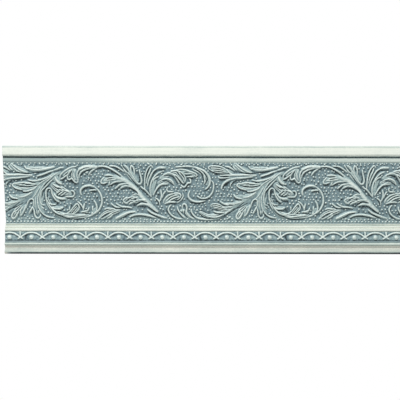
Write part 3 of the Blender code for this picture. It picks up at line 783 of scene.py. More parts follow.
@dataclass
class ArchBand:
    """The row of arches, each with a pearl under it and a small bar beside it."""

    # the part of the drawing that holds the row: left, top, right and bottom
    drawn: Box = (-14.0, 229.0, 414.0, 243.0)
    first: float = 30.5
    spacing: float = 21.5
    sway: float = 2.9
    numbers: range = range(-2, 20)
    step: float = 0.15
    arch_line: tuple[Point, ...] = (
        (-13.2, 238.2), (-10.8, 236.9), (-8.0, 234.9), (-4.8, 233.0), (-1.6, 232.3),
        (1.6, 232.3), (4.8, 233.0), (8.0, 234.9), (10.8, 236.9), (13.2, 238.2),
    )
    arch: Ridge = Ridge(0.925, 1.15)
    arch_body: Ridge = Ridge(1.05, 0.32, Crown.RIB_BODY)
    # a shallow groove just under each arch's crown, glazed dark: partly painted shade under the arch
    under_arch_shade_line: tuple[Point, ...] = (
        (-7.4, 236.2), (-4.4, 234.4), (-1.4, 233.7), (1.6, 233.7), (4.6, 234.4), (7.6, 236.2),
    )
    under: Ridge = Ridge(0.6, 0.2)
    pearl_down: float = 237.0
    pearl: Ridge = Ridge(2.75, 1.7)
    # a small pale bump at the upper left of each pearl, wiped clean of glaze: a painted highlight
    pearl_highlight_aside: Point = (0.8, 0.6)
    crest: Ridge = Ridge(1.4, 0.5)
    bar_top: float = 231.0
    bar_foot: float = 235.0
    bar_lean: float = 0.1
    bar: Ridge = Ridge(0.95, 1.5)
    spandrel_top: float = 230.0
    spandrel_foot: float = 232.5
    spandrel: Ridge = Ridge(4.3, 0.25, Crown.LEAF)
    hollow_down: float = 240.1
    hollow: Ridge = Ridge(1.05, 0.95)

    def forms(self) -> tuple[tuple[str, tuple[Point, ...], Ridge], ...]:
        """List the forms of one arch.

        Returns:
            Each form's field, its points from the arch's middle, and its ridge.
        """
        side, pearl_at = self.spacing / 2, (0.0, self.pearl_down)
        pearl_highlight_at = (-self.pearl_highlight_aside[0], self.pearl_down - self.pearl_highlight_aside[1])
        return (
            ("rib", self.arch_line, self.arch),
            ("body", self.arch_line, self.arch_body),
            ("body", (pearl_at,), self.pearl),
            ("rib", (pearl_highlight_at,), self.crest),
            ("rib", ((side - self.bar_lean, self.bar_top), (side + self.bar_lean, self.bar_foot)),
             self.bar),
            ("body", ((side, self.spandrel_top), (side, self.spandrel_foot)), self.spandrel),
            ("cut", self.under_arch_shade_line, self.under),
        )

    def carve(self) -> tuple[Patch, dict[str, Field]]:
        """Carve the whole row on the drawing.

        Returns:
            The patch of the drawing that it fills, and its bodies, ribs and cuts.
        """
        patch = Patch(*self.drawn)
        fields = {name: patch.blank() for name in ("body", "rib", "cut")}
        forms = [(name, smooth_line(points, self.step), ridge) for name, points, ridge in self.forms()]
        for number in self.numbers:
            along = self.first + number * self.spacing
            middle = (along + self.sway * math.sin(math.pi * along / (patch.right - patch.left)), 0.0)
            for name, line, ridge in forms:
                patch.raise_ridge(fields[name], line + middle, ridge)
        hollow = smooth_line(((patch.left, self.hollow_down), (patch.right, self.hollow_down)), self.step)
        patch.raise_ridge(fields["cut"], hollow, self.hollow)
        return patch, fields


@dataclass
class Stipple:
    """The punched dots on the bare ground, and the rows of small beads at its edges."""

    top: float = 164.3
    foot: float = 219.0
    spacing: float = 3.7
    stray: float = 0.9
    sizes: Point = (0.75, 1.1)
    dot: Ridge = Ridge(0.9, 1.05, Crown.DOT)
    # a shallow dent below and a little right of each dot, glazed dark: a painted shadow of the dot
    painted_shadow_side: Point = (0.45, -1.05)
    dark: Ridge = Ridge(0.7, 0.6)
    seed: int = 7
    # what counts as leaf, how far dots keep off it, and how near is too near
    leaf_rise: float = 0.05
    clearance: float = 0.5
    most_covered: float = 0.12
    # each row of beads: how far down the drawing, the distance between beads, and one bead
    bead_rows: tuple[tuple[float, float, Ridge], ...] = (
        (221.3, 3.43, Ridge(0.95, 0.9, Crown.DOT)),
        (162.7, 4.3, Ridge(0.75, 0.55, Crown.DOT)),
    )
    first_bead: float = 1.6
    # each bead has the same painted shadow below it
    bead_painted_shadow: Ridge = Ridge(0.75, 0.5)

    def spots(self, patch: Patch, chance: np.random.Generator) -> Field:
        """Scatter places for the dots over the whole ground.

        Args:
            patch: the strip's whole face.
            chance: the source of their stray.

        Returns:
            The places as rows of (along, down).
        """
        places = []
        row_step = self.spacing * math.sqrt(3) / 2
        for row in range(int((self.foot - self.top) / row_step) + 1):
            down = self.top + row * row_step
            for column in range(int((patch.right - patch.left) / self.spacing) + 1):
                along = patch.left + (column + 0.5 * (row % 2)) * self.spacing
                places.append((along + chance.uniform(-1, 1) * self.stray,
                               down + chance.uniform(-1, 1) * self.stray))
        return np.array(places)

    def carve(self, patch: Patch, bodies: Field, cuts: Field, sight: Sight,
              depth_at: Callable[[Field], Field]) -> Field:
        """Punch the dots on the strip where no leaf stands.

        Args:
            patch: the strip's whole face, with heights as rows.
            bodies: how high the leaves' bodies stand over the face.
            cuts: the grooves, to which a shallow dent with a painted shadow below each dot and bead is
                added.
            sight: where the eye stands.
            depth_at: gives the face's depth at a height.

        Returns:
            How far the dots stand out.
        """
        dots = patch.blank()
        bare = soften((bodies > self.leaf_rise).astype(float), self.clearance * patch.per_mm)
        chance = np.random.default_rng(self.seed)
        spots = self.spots(patch, chance)
        spots[:, 1] = sight.height(spots[:, 1], depth_at)
        spots = spots[patch.read(bare, spots[:, 0], spots[:, 1]) < self.most_covered]
        size = chance.uniform(*self.sizes, len(spots))
        patch.raise_ridge(dots, spots, self.dot, size)
        # lay the painted shadows below the dots
        patch.raise_ridge(cuts, spots + self.painted_shadow_side, self.dark, size)
        for down, step, bead in self.bead_rows:
            count = int((patch.right - patch.left) / step)
            along = patch.left + self.first_bead + step * np.arange(count)
            beads = np.column_stack([along, sight.height(np.full(count, down), depth_at)])
            patch.raise_ridge(dots, beads, bead)
            patch.raise_ridge(cuts, beads + self.painted_shadow_side, self.bead_painted_shadow)
        return dots


@dataclass(frozen=True)
class GlazeCoat:
    """How thick the glaze lies, from 0 on bare paint to 1 where it pools."""

    ground: float = 0.55
    body: float = 0.34
    haze: float = 0.03
    cavity_width: float = 0.95
    # the spans over which a form counts as a body, a crest, a rib's core, a dome or a dot
    body_span: Point = (0.25, 0.85)
    crest_span: Point = (0.12, 0.45)
    crest_rise_span: Point = (0.3, 0.8)
    core_span: Point = (0.35, 0.8)
    dome_span: Point = (1.35, 1.85)
    dome_share: float = 0.8
    dot_span: Point = (0.2, 0.5)
    # the glaze pools in hollows deeper than a least depth, by a gain and up to a most
    pool_gain: float = 1.3
    pool_least: float = 0.14
    pool_reach: float = 0.4
    pool_most: float = 0.97
    # painted light: how much the glaze thins at the foot of the frieze and on the arches, and the heights
    # over which that fades out going up
    painted_light_at_foot: float = 0.2
    foot_span: Point = (-18.5, -13.5)
    crispness: float = 0.9
    crisp_width: float = 0.7

    def lay(self, patch: Patch, fields: dict[str, Field], rise: Field) -> Field:
        """Wipe the glaze over the carving, with painted shade and painted light in it.

        Args:
            patch: the strip's whole face.
            fields: the carving's bodies, ribs, cuts and dots.
            rise: how far the carving stands out in all.

        Returns:
            The glaze's thickness over the face.
        """
        hollow = soften(rise, self.cavity_width * patch.per_mm) - rise
        glaze = self.ground + (self.body - self.ground) * ease(rise, *self.body_span)
        crest = ease(-hollow, *self.crest_span) * ease(rise, *self.crest_rise_span)
        core = ease(fields["rib"], *self.core_span)
        dome = self.dome_share * ease(rise, *self.dome_span)
        pale = np.maximum.reduce([crest, core, dome, ease(fields["dot"], *self.dot_span)])
        # the glaze is thinner at the foot of the frieze and on the arches: painted light that lifts the
        # shade there
        heights = np.linspace(patch.first, patch.last, len(rise))[:, None]
        glaze = glaze * (1 - self.painted_light_at_foot * (1 - ease(heights, *self.foot_span)))
        glaze = self.haze + (glaze - self.haze) * (1 - pale)
        # the glaze pools in the hollows and lies thick in the cuts, whose dark is partly painted shade under
        # the leaves, dots, beads and arches
        pool = self.pool_gain * np.clip(hollow - self.pool_least, 0, self.pool_reach)
        glaze = glaze + (1 - glaze) * np.clip(pool + fields["cut"], 0, self.pool_most)
        blurred = soften(glaze, self.crisp_width * patch.per_mm)
        return np.clip(glaze + self.crispness * (glaze - blurred), 0, 1)


@dataclass
class Bench:
    """Adds nodes to one tree and joins them."""

    tree: bpy.types.NodeTree

    def add(self, kind: str, **settings: object) -> bpy.types.Node:
        """Add a node.

        Args:
            kind: the node's type.
            settings: its plain settings, by name.

        Returns:
            The node.
        """
        node = self.tree.nodes.new(kind)
        for name, value in settings.items():
            setattr(node, name, value)
        return node

    def feed(self, socket: Socket, value: Feed) -> None:
        """Join a socket to another, or give it a value.

        Args:
            socket: the socket that takes the value.
            value: the other socket, or a plain value.
        """
        if isinstance(value, Socket):
            self.tree.links.new(value, socket)
        else:
            socket.default_value = value

    def fed(self, kind: str, *values: Feed, **settings: object) -> bpy.types.Node:
        """Add a node and feed its first sockets.

        Args:
            kind: the node's type.
            values: what its first sockets take, in order.
            settings: its plain settings, by name.

        Returns:
            The node.
        """
        node = self.add(kind, **settings)
        for socket, value in zip(node.inputs, values):
            self.feed(socket, value)
        return node

    def use(self, group: bpy.types.NodeTree, **values: Feed) -> bpy.types.Node:
        """Place a shared effect.

        Args:
            group: the effect's node group.
            values: what its inputs take, by name.

        Returns:
            The group's node.
        """
        node = self.add("ShaderNodeGroup", node_tree=group)
        for name, value in values.items():
            self.feed(node.inputs[name], value)
        return node

    def math(self, operation: str, *values: Feed, clamp: bool = False) -> Socket:
        """Return what a math node makes of the values."""
        return self.fed("ShaderNodeMath", *values, operation=operation, use_clamp=clamp).outputs[0]

    def mix(self, share: Feed, first: Feed, second: Feed, blend: str = "MIX") -> Socket:
        """Return a colour made of two colours.

        Args:
            share: how much of the second colour there is.
            first: the first colour.
            second: the second colour.
            blend: how the second colour is laid over the first.

        Returns:
            The colour.
        """
        node = self.add("ShaderNodeMix", data_type="RGBA", blend_type=blend)
        self.feed(node.inputs[0], share)
        self.feed(node.inputs[6], first)
        self.feed(node.inputs[7], second)
        return node.outputs[2]

    def scale(self, place: Feed, amounts: Triple) -> Socket:
        """Return a place stretched along each axis."""
        return self.fed("ShaderNodeVectorMath", place, amounts, operation="MULTIPLY").outputs[0]

    def noise(self, place: Feed, size: Feed, detail: float = 2.0, rough: float = 0.5) -> Socket:
        """Return soft noise.

        Args:
            place: where it is read.
            size: how fine it is.
            detail: how many finer layers it has.
            rough: how strong the finer layers are.

        Returns:
            The noise, about 0 to 1.
        """
        node = self.add("ShaderNodeTexNoise")
        for name, value in (("Vector", place), ("Scale", size), ("Detail", detail), ("Roughness", rough)):
            self.feed(node.inputs[name], value)
        return node.outputs["Fac"]

    def ramp(self, share: Feed, stops: tuple[tuple[float, Colour], ...]) -> Socket:
        """Read a colour off a ramp.

        Args:
            share: the place on the ramp.
            stops: the places and colours of its stops.

        Returns:
            The colour.
        """
        node = self.fed("ShaderNodeValToRGB", share)
        elements = node.color_ramp.elements
        for number, (place, colour) in enumerate(stops):
            stop = elements[number] if number < 2 else elements.new(place)
            stop.position, stop.color = place, (*colour, 1.0)
        return node.outputs["Color"]

    def level(self, share: Feed, stops: Stops) -> Socket:
        """Return a plain value read off a ramp."""
        return self.ramp(share, tuple((place, (value,) * 3) for place, value in stops))

    def spread(self, value: Feed, span: Point, to: Point) -> Socket:
        """Return a value carried from one range to another and held there."""
        return self.fed("ShaderNodeMapRange", value, *span, *to).outputs[0]

    def roughen(self, shader: bpy.types.Node, relief: Socket, strength: float, depth: float) -> None:
        """Give a surface a fine relief.

        Args:
            shader: the surface's shader.
            relief: the relief, from 0 to 1.
            strength: how strongly it shows.
            depth: how deep it is, in metres.
        """
        bump = self.add("ShaderNodeBump")
        for name, value in (("Strength", strength), ("Distance", depth), ("Height", relief)):
            self.feed(bump.inputs[name], value)
        self.feed(shader.inputs["Normal"], bump.outputs["Normal"])


def painted(red: int, green: int, blue: int) -> Colour:
    """Return a colour from its screen values, as the shader takes it."""
    return tuple((part / 255) ** 2.2 for part in (red, green, blue))


def start_group(name: str, takes: dict[str, str],
                gives: tuple[str, ...]) -> tuple[Bench, dict[str, Socket], bpy.types.Node]:
    """Start a node group with named inputs and outputs.

    Args:
        name: the group's name.
        takes: each input's name and kind of socket.
        gives: the outputs' names, all of them plain values.

    Returns:
        The group's bench, its inputs by name, and the node that its outputs go to.
    """
    tree = bpy.data.node_groups.new(name, "ShaderNodeTree")
    for side, sockets in (("INPUT", takes), ("OUTPUT", dict.fromkeys(gives, "NodeSocketFloat"))):
        for label, kind in sockets.items():
            tree.interface.new_socket(label, in_out=side, socket_type=kind)
    bench = Bench(tree)
    inside = bench.add("NodeGroupInput")
    return bench, {label: inside.outputs[label] for label in takes}, bench.add("NodeGroupOutput")


@dataclass
class WoodGrain:
    """The fibres of the wood, which run along the strip, as a shared effect."""

    fibre_stretch: Triple = (0.035, 1.0, 1.0)
    fibre_layers: Point = (4.0, 0.65)
    figure_stretch: Triple = (0.08, 1.0, 1.0)
    figure_size: float = 55.0
    group: bpy.types.NodeTree | None = None

    def build(self) -> None:
        """Build the node group once."""
        bench, takes, gives = start_group(
            "wood_grain", {"Place": "NodeSocketVector", "Fineness": "NodeSocketFloat"}, ("Fibre", "Figure"))
        lengthwise = bench.scale(takes["Place"], self.fibre_stretch)
        bench.feed(gives.inputs["Fibre"], bench.noise(lengthwise, takes["Fineness"], *self.fibre_layers))
        lengthwise = bench.scale(takes["Place"], self.figure_stretch)
        bench.feed(gives.inputs["Figure"], bench.noise(lengthwise, self.figure_size))
        self.group = bench.tree


@dataclass
class Mottle:
    """Uneven colour in patches and specks, as a shared effect that runs from -1 to 1."""

    speck_layers: Point = (2.0, 0.6)
    patch_layers: Point = (3.0, 0.55)
    used: Point = (0.3, 0.7)
    group: bpy.types.NodeTree | None = None

    def build(self) -> None:
        """Build the node group once."""
        kinds = {"Place": "NodeSocketVector", "Speck": "NodeSocketFloat", "Patch": "NodeSocketFloat"}
        bench, takes, gives = start_group("mottle", kinds, ("Specks", "Patches"))
        specks = bench.noise(takes["Place"], takes["Speck"], *self.speck_layers)
        patches = bench.noise(takes["Place"], takes["Patch"], *self.patch_layers)
        bench.feed(gives.inputs["Specks"], bench.spread(specks, self.used, (-1.0, 1.0)))
        bench.feed(gives.inputs["Patches"], bench.spread(patches, self.used, (-1.0, 1.0)))
        self.group = bench.tree


def start_material(name: str) -> tuple[bpy.types.Material, Bench, bpy.types.Node, Socket]:
    """Start a material.

    Args:
        name: the material's name.

    Returns:
        The material, its bench, its shader, and the place on the object in metres.
    """
    material = bpy.data.materials.new(name)
    material.use_nodes = True
    bench = Bench(material.node_tree)
    place = bench.add("ShaderNodeTexCoord").outputs["Object"]
    return material, bench, material.node_tree.nodes["Principled BSDF"], place


@dataclass(frozen=True)
class GlazedPaint:
    """Pale milk paint under a blue-grey glaze that is wiped off what stands proud.

    Some of its dark is painted shade and some of its pale is painted light. The stops by height hold
    (height, value), and a span holds its start and its end.
    """

    # the colours that show through the glaze where it is as thick as this
    colours: tuple[tuple[float, Colour], ...] = (
        (0.0, painted(230, 235, 224)), (0.33, painted(166, 183, 177)),
        (0.63, painted(121, 141, 144)), (1.0, painted(27, 43, 45)),
    )
    warmth: Colour = (1.0, 0.93, 0.905)
    coolness: Colour = (0.945, 1.0, 1.045)
    roughness: Point = (0.62, 0.5)
    # how thick the glaze lies on the plain mouldings under and over the frieze, by height
    # painted shade is laid in with it: the dark band along the foot is a painted cast shadow under the
    # strip, the lower cove is painted darker, and the quirk under the top fillet and the line under the
    # arches are dark glaze with painted shade
    glaze_and_shade_under_frieze: Stops = (
        (-53.75, 1.0), (-52.5, 1.0), (-52.1, 0.7), (-51.6, 0.36), (-51.0, 0.28), (-49.0, 0.26),
        (-48.2, 0.2), (-47.3, 0.0), (-46.3, 0.0), (-45.2, 0.15), (-44.3, 0.42), (-43.8, 0.2),
        (-43.2, 0.14), (-42.7, 0.14), (-42.4, 0.5), (-41.8, 0.55), (-41.0, 0.75), (-31.4, 0.55),
        (-30.6, 0.1), (-29.4, 0.02), (-28.3, 0.2), (-27.5, 0.04), (-26.4, 0.02), (-25.3, 0.26),
        (-24.4, 0.0), (-23.5, 0.28), (-22.9, 0.6), (-22.4, 0.6), (-22.3, 0.0),
    )
    glaze_and_shade_over_frieze: Stops = (
        (37.0, 0.0), (37.1, 0.3), (38.6, 0.28), (40.0, 0.2), (41.4, 0.15), (42.0, 0.55),
        (42.3, 0.9), (42.7, 0.92), (43.2, 0.5), (43.9, 0.1), (44.6, 0.0), (45.8, 0.03),
        (51.7, 0.0), (52.1, 0.22), (52.6, 0.24), (53.2, 0.18),
    )
    # the glaze's edge there wavers a little
    waver_size: float = 160.0
    waver_span: Point = (0.3, 0.7)
    waver: Point = (-0.0016, 0.0016)
    # the warmth of the plain mouldings, by height
    warm: Stops = (
        (-48.3, 1.0), (-47.6, 0.5), (-45.075, 0.5), (-44.0, 0.0),
        (-31.2, 0.0), (-30.8, 0.25), (-23.0, 0.25), (-22.7, 0.0),
    )
    # the painted shadow along the foot fades out at the left end, as the light comes from the upper left:
    # where by height, how far along, and by how much
    shadow_fade: Stops = ((-52.03, 1.0), (-51.6, 0.0))
    shadow_fade_span: Point = (-0.1985, -0.1930)
    shadow_fade_share: float = 0.9
    # the glaze wasn't wiped off the left end of the plain strip over the frieze
    unwiped: Point = (37.8, 43.2)
    unwiped_span: Point = (-0.13, -0.07)
    unwiped_glaze: float = 0.24
    edge: float = 0.129
    half_height: float = 53.75
    # how fine the brush marks, specks and patches are, and what they add to the glaze
    fineness: float = 900.0
    speck_size: float = 620.0
    patch_size: float = 38.0
    streak_span: Point = (0.35, 0.7)
    streaks: Point = (-0.05, 0.09)
    specks_plain: float = 0.03
    specks_carved: float = 0.09
    patches: float = 0.03
    speck_relief: float = 0.3
    relief_strength: float = 0.25
    relief_depth: float = 0.0002

    def by_height(self, bench: Bench, up: Socket, stops: Stops) -> Socket:
        """Read a value by height.

        Args:
            bench: the material's bench.
            up: how far up the strip the place lies, from 0 to 1.
            stops: the heights and their values.

        Returns:
            The value.
        """
        shares = ((height + self.half_height) / (2 * self.half_height) for height, _ in stops)
        return bench.level(up, tuple((share, value) for share, (_, value) in zip(shares, stops)))

    def carved_zone(self, bench: Bench, up: Socket, section: Section) -> Socket:
        """Mark where the strip is carved.

        Args:
            bench: the material's bench.
            up: how far up the strip the place lies.
            section: the strip's section, which says where it is carved.

        Returns:
            1 on the frieze and on the row of arches, and 0 beside them.
        """
        stops = [(-self.half_height, 0.0)]
        for foot, top in sorted((section.band, section.frieze)):
            stops += [(foot - self.edge, 0.0), (foot + self.edge, 1.0),
                      (top - self.edge, 1.0), (top + self.edge, 0.0)]
        return self.by_height(bench, up, tuple(stops))

    def plain_glaze_and_shade(self, bench: Bench, place: Socket, along: Socket, up: Socket) -> Socket:
        """Lay the glaze, with its painted shade, on the plain mouldings.

        Args:
            bench: the material's bench.
            place: the place on the strip.
            along: how far along the strip it lies, in metres.
            up: how far up the strip it lies.

        Returns:
            The glaze's thickness, painted shade included.
        """
        waver = bench.spread(bench.noise(place, self.waver_size), self.waver_span, self.waver)
        wavered = bench.math("ADD", up, waver)
        lower = self.by_height(bench, wavered, self.glaze_and_shade_under_frieze)
        upper = self.by_height(bench, wavered, self.glaze_and_shade_over_frieze)
        # the painted shadow along the foot fades out towards the left end
        at_left = bench.spread(along, self.shadow_fade_span, (self.shadow_fade_share, 0.0))
        shadow_fade = bench.math("MULTIPLY", self.by_height(bench, up, self.shadow_fade), at_left)
        spared = bench.math("SUBTRACT", 1.0, shadow_fade)
        plain = bench.math("ADD", bench.math("MULTIPLY", lower, spared), upper)
        low, high = self.unwiped
        stops = ((low - self.edge, 0.0), (low, 1.0), (high, 1.0), (high + self.edge, 0.0))
        on_strip = self.by_height(bench, up, stops)
        left_on = bench.spread(along, self.unwiped_span, (self.unwiped_glaze, 0.0))
        return bench.math("MULTIPLY_ADD", left_on, on_strip, plain)

    def build(self, grain: WoodGrain, mottle: Mottle, section: Section) -> bpy.types.Material:
        """Build the material.

        Args:
            grain: the shared wood grain.
            mottle: the shared mottle.
            section: the strip's section.

        Returns:
            The material.
        """
        material, bench, shader, place = start_material("glazed_milk_paint_and_painted_shade")
        fibres = bench.use(grain.group, Place=place, Fineness=self.fineness)
        spots = bench.use(mottle.group, Place=place, Speck=self.speck_size, Patch=self.patch_size)
        apart = bench.fed("ShaderNodeSeparateXYZ", place)
        up = bench.math("MULTIPLY_ADD", apart.outputs["Z"], 1 / (2 * self.half_height * MM), 0.5)
        zone = self.carved_zone(bench, up, section)
        plain = self.plain_glaze_and_shade(bench, place, apart.outputs["X"], up)
        # the carved glaze holds the painted shadows, highlight and light laid in on the carving
        carved = bench.add("ShaderNodeAttribute", attribute_name="glaze", attribute_type="GEOMETRY")
        glaze = bench.math("ADD", bench.math("MULTIPLY", zone, carved.outputs["Fac"]),
                           bench.math("MULTIPLY", bench.math("SUBTRACT", 1.0, zone), plain))
        streaks = bench.spread(fibres.outputs["Fibre"], self.streak_span, self.streaks)
        glaze = bench.math("ADD", glaze, streaks)
        speckle = bench.math("MULTIPLY_ADD", zone, self.specks_carved, self.specks_plain)
        glaze = bench.math("MULTIPLY_ADD", spots.outputs["Specks"], speckle, glaze)
        glaze = bench.math("MULTIPLY_ADD", spots.outputs["Patches"], self.patches, glaze, clamp=True)
        tint = bench.mix(self.by_height(bench, up, self.warm), (1.0,) * 4, (*self.warmth, 1.0))
        tint = bench.mix(zone, tint, (*self.coolness, 1.0))
        colour = bench.mix(1.0, bench.ramp(glaze, self.colours), tint, "MULTIPLY")
        bench.feed(shader.inputs["Base Color"], colour)
        bench.feed(shader.inputs["Roughness"], bench.spread(glaze, (0.0, 1.0), self.roughness))
        fibre = fibres.outputs["Fibre"]
        relief = bench.math("MULTIPLY_ADD", spots.outputs["Specks"], self.speck_relief, fibre)
        bench.roughen(shader, relief, self.relief_strength, self.relief_depth)
        return material


class Sawing(Enum):
    """How a bare face of the wood was left."""

    PLANED = "along the grain"
    CROSSCUT = "across the grain"


@dataclass(frozen=True)
class BareWood:
    """Pale unpainted wood, on the faces that don't show when the strip is fixed."""

    sawing: Sawing
    light: Colour = painted(214, 184, 143)
    dark: Colour = painted(176, 138, 96)
    tones: Point = (0.25, 0.85)
    roughness: Point = (0.7, 0.85)
    # on a crosscut end the fibres show as points
    crosscut_stretch: Triple = (60.0, 1.0, 1.0)
    fineness: float = 420.0
    speck_size: float = 900.0
    patch_size: float = 24.0
    figure: float = 0.6
    fibre: float = 0.5
    ring_size: float = 120.0
    ring_bend: Triple = (2.5, 2.0, 1.5)
    rings: float = 0.35
    under_rings: float = 0.6
    patches: float = 0.12
    specks: float = 0.05
    relief_strength: float = 0.35
    relief_depth: float = 0.0003

    def build(self, grain: WoodGrain, mottle: Mottle) -> bpy.types.Material:
        """Build the material.

        Args:
            grain: the shared wood grain.
            mottle: the shared mottle.

        Returns:
            The material.
        """
        material, bench, shader, place = start_material(f"bare_wood_{self.sawing.name.lower()}")
        on_face = place
        if self.sawing is Sawing.CROSSCUT:
            place = bench.scale(place, self.crosscut_stretch)
        fibres = bench.use(grain.group, Place=place, Fineness=self.fineness)
        spots = bench.use(mottle.group, Place=place, Speck=self.speck_size, Patch=self.patch_size)
        tone = bench.math("MULTIPLY", fibres.outputs["Fibre"], self.fibre)
        tone = bench.math("MULTIPLY_ADD", fibres.outputs["Figure"], self.figure, tone)
        if self.sawing is Sawing.CROSSCUT:
            rings = bench.add("ShaderNodeTexWave", wave_type="RINGS", rings_direction="X")
            names = ("Vector", "Scale", "Distortion", "Detail", "Detail Scale")
            for name, value in zip(names, (on_face, self.ring_size, *self.ring_bend)):
                bench.feed(rings.inputs[name], value)
            tone = bench.math("MULTIPLY", tone, self.under_rings)
            tone = bench.math("MULTIPLY_ADD", rings.outputs["Fac"], self.rings, tone)
        tone = bench.math("MULTIPLY_ADD", spots.outputs["Patches"], self.patches, tone)
        tone = bench.math("MULTIPLY_ADD", spots.outputs["Specks"], self.specks, tone, clamp=True)
        colour = bench.ramp(tone, tuple(zip(self.tones, (self.light, self.dark))))
        bench.feed(shader.inputs["Base Color"], colour)
        bench.feed(shader.inputs["Roughness"], bench.spread(tone, (0.0, 1.0), self.roughness))
        bench.roughen(shader, fibres.outputs["Fibre"], self.relief_strength, self.relief_depth)
        return material


@dataclass
class Strip:
    """The length of moulding: one piece of wood with a carved and painted face."""

    length: float = 400.0
    height: float = 107.5
    column_step: float = 0.4
    soft_width: float = 0.15
    # how many triangles the face keeps, and how firmly the carving and the glaze's edges hold theirs
    triangles: int = 188000
    hold: float = 4e-5
    held_change: float = 0.8
    held_share: float = 0.9
    band_freedom: float = 0.8
    # arrises turn sharply, and near the middle of the strip only where the turn is larger
    sharp_turn: float = math.radians(32)
    inner_turn: float = 1.6
    inner_height: float = 42.0
    smooth_margin: float = 0.3
    section: Section = field(default_factory=Section)
    sight: Sight = field(default_factory=Sight)
    frieze: Frieze = field(default_factory=Frieze)
    arches: ArchBand = field(default_factory=ArchBand)
    stipple: Stipple = field(default_factory=Stipple)
    coat: GlazeCoat = field(default_factory=GlazeCoat)

    def carve(self) -> tuple[Patch, Field, Field]:
        """Carve the whole face and lay the glaze over it.

        Returns:
            The face's patch, how far its carving stands out, and the glaze on it.
        """
        patch = Patch(-self.length / 2, -self.height / 2, self.length / 2, self.height / 2)
        fields = {name: patch.blank() for name in ("body", "rib", "cut")}
        rows, columns = fields["body"].shape
        x = np.linspace(patch.left, patch.right, columns)
        heights = np.linspace(patch.first, patch.last, rows)
        depths = self.section.depth_at(heights)[:, None]
        down = self.sight.down(heights[:, None] + 0 * x, depths)
        page = self.sight.along(x, depths)
        tile, drawn = self.frieze.carve()
        log.info("drew %d strokes of scrollwork", len(SCROLLWORK))
        zone = (heights > self.section.frieze[0]) & (heights < self.section.frieze[1])
        for turn in self.frieze.turns:
            along = self.frieze.drift(page, down) - turn * self.frieze.repeat
            for name, values in fields.items():
                copy = tile.read(drawn[name], along[zone], down[zone])
                values[zone] = np.maximum(values[zone], copy)
        bodies = fields["body"].copy()
        band, drawn = self.arches.carve()
        zone = (heights > self.section.band[0]) & (heights < self.section.band[1])
        for name, values in fields.items():
            values[zone] = np.maximum(values[zone], band.read(drawn[name], page[zone], down[zone]))
        fields["dot"] = self.stipple.carve(patch, bodies, fields["cut"], self.sight, self.section.depth_at)
        rise = fields["body"] + fields["rib"] - self.frieze.cut_depth * fields["cut"]
        rise = np.maximum(np.maximum(rise, self.frieze.floor), fields["dot"])
        rise = soften(rise, self.soft_width * patch.per_mm)
        return patch, rise, self.coat.lay(patch, fields, rise)

    def face_mesh(self, patch: Patch, rise: Field, glaze: Field) -> tuple[bpy.types.Mesh, Field]:
        """Press a fine sheet to the section and the carving.

        Args:
            patch: the face's patch.
            rise: how far the carving stands out.
            glaze: the glaze's thickness.

        Returns:
            The sheet's mesh, in metres, and how free each of its vertices is to go.
        """
        heights = self.section.rows()
        x = np.linspace(patch.left, patch.right, round(self.length / self.column_step) + 1)
        along, up = np.meshgrid(x, heights)
        out = self.section.depth_at(heights)[:, None] + patch.read(rise, along, up)
        points = np.stack([along, -out, up], axis=-1) * MM
        index = np.arange(along.size).reshape(along.shape)
        quads = np.stack([index[:-1, :-1], index[:-1, 1:], index[1:, 1:], index[1:, :-1]], axis=-1)
        mesh = bpy.data.meshes.new("face_sheet")
        mesh.vertices.add(along.size)
        mesh.vertices.foreach_set("co", points.astype(np.float32).ravel())
        mesh.loops.add(quads.size)
        mesh.loops.foreach_set("vertex_index", quads.astype(np.int32).ravel())
        mesh.polygons.add(quads.size // 4)
        mesh.polygons.foreach_set("loop_start", np.arange(0, quads.size, 4, dtype=np.int32))
        mesh.update(calc_edges=True)
        down, across = np.gradient(glaze, 1 / patch.per_mm)
        change = patch.read(np.hypot(down, across), along, up)
        freedom = 1 - self.held_share * ease(change, 0.0, self.held_change)
        # the wide flat ground under the arches keeps some vertices of its own
        in_band = (up > self.section.band[0]) & (up < self.section.band[1])
        return mesh, np.where(in_band, np.minimum(freedom, self.band_freedom), freedom).ravel()

    def thinned(self, mesh: bpy.types.Mesh, freedom: Field) -> bmesh.types.BMesh:
        """Take triangles out of a mesh, but few of them from the carving and the glaze's edges.

        Args:
            mesh: the fine sheet.
            freedom: how free each vertex is to go, from above 0 to 1.

        Returns:
            The sheet with fewer triangles.
        """
        guide = put_in_scene("face_sheet", mesh)
        free = guide.vertex_groups.new(name="free_to_go")
        tenths = np.maximum(np.round(10 * freedom).astype(int), 1)
        for tenth in range(1, 11):
            free.add(np.flatnonzero(tenths == tenth).tolist(), tenth / 10, "REPLACE")
        fewer = guide.modifiers.new("fewer_triangles", "DECIMATE")
        fewer.ratio = self.triangles / (2 * len(mesh.polygons))
        fewer.vertex_group = free.name
        fewer.vertex_group_factor = self.hold
        evaluated = guide.evaluated_get(bpy.context.evaluated_depsgraph_get())
        sheet = bmesh.new()
        sheet.from_mesh(evaluated.to_mesh())
        evaluated.to_mesh_clear()
        bpy.data.objects.remove(guide, do_unlink=True)
        bpy.data.meshes.remove(mesh)
        return sheet

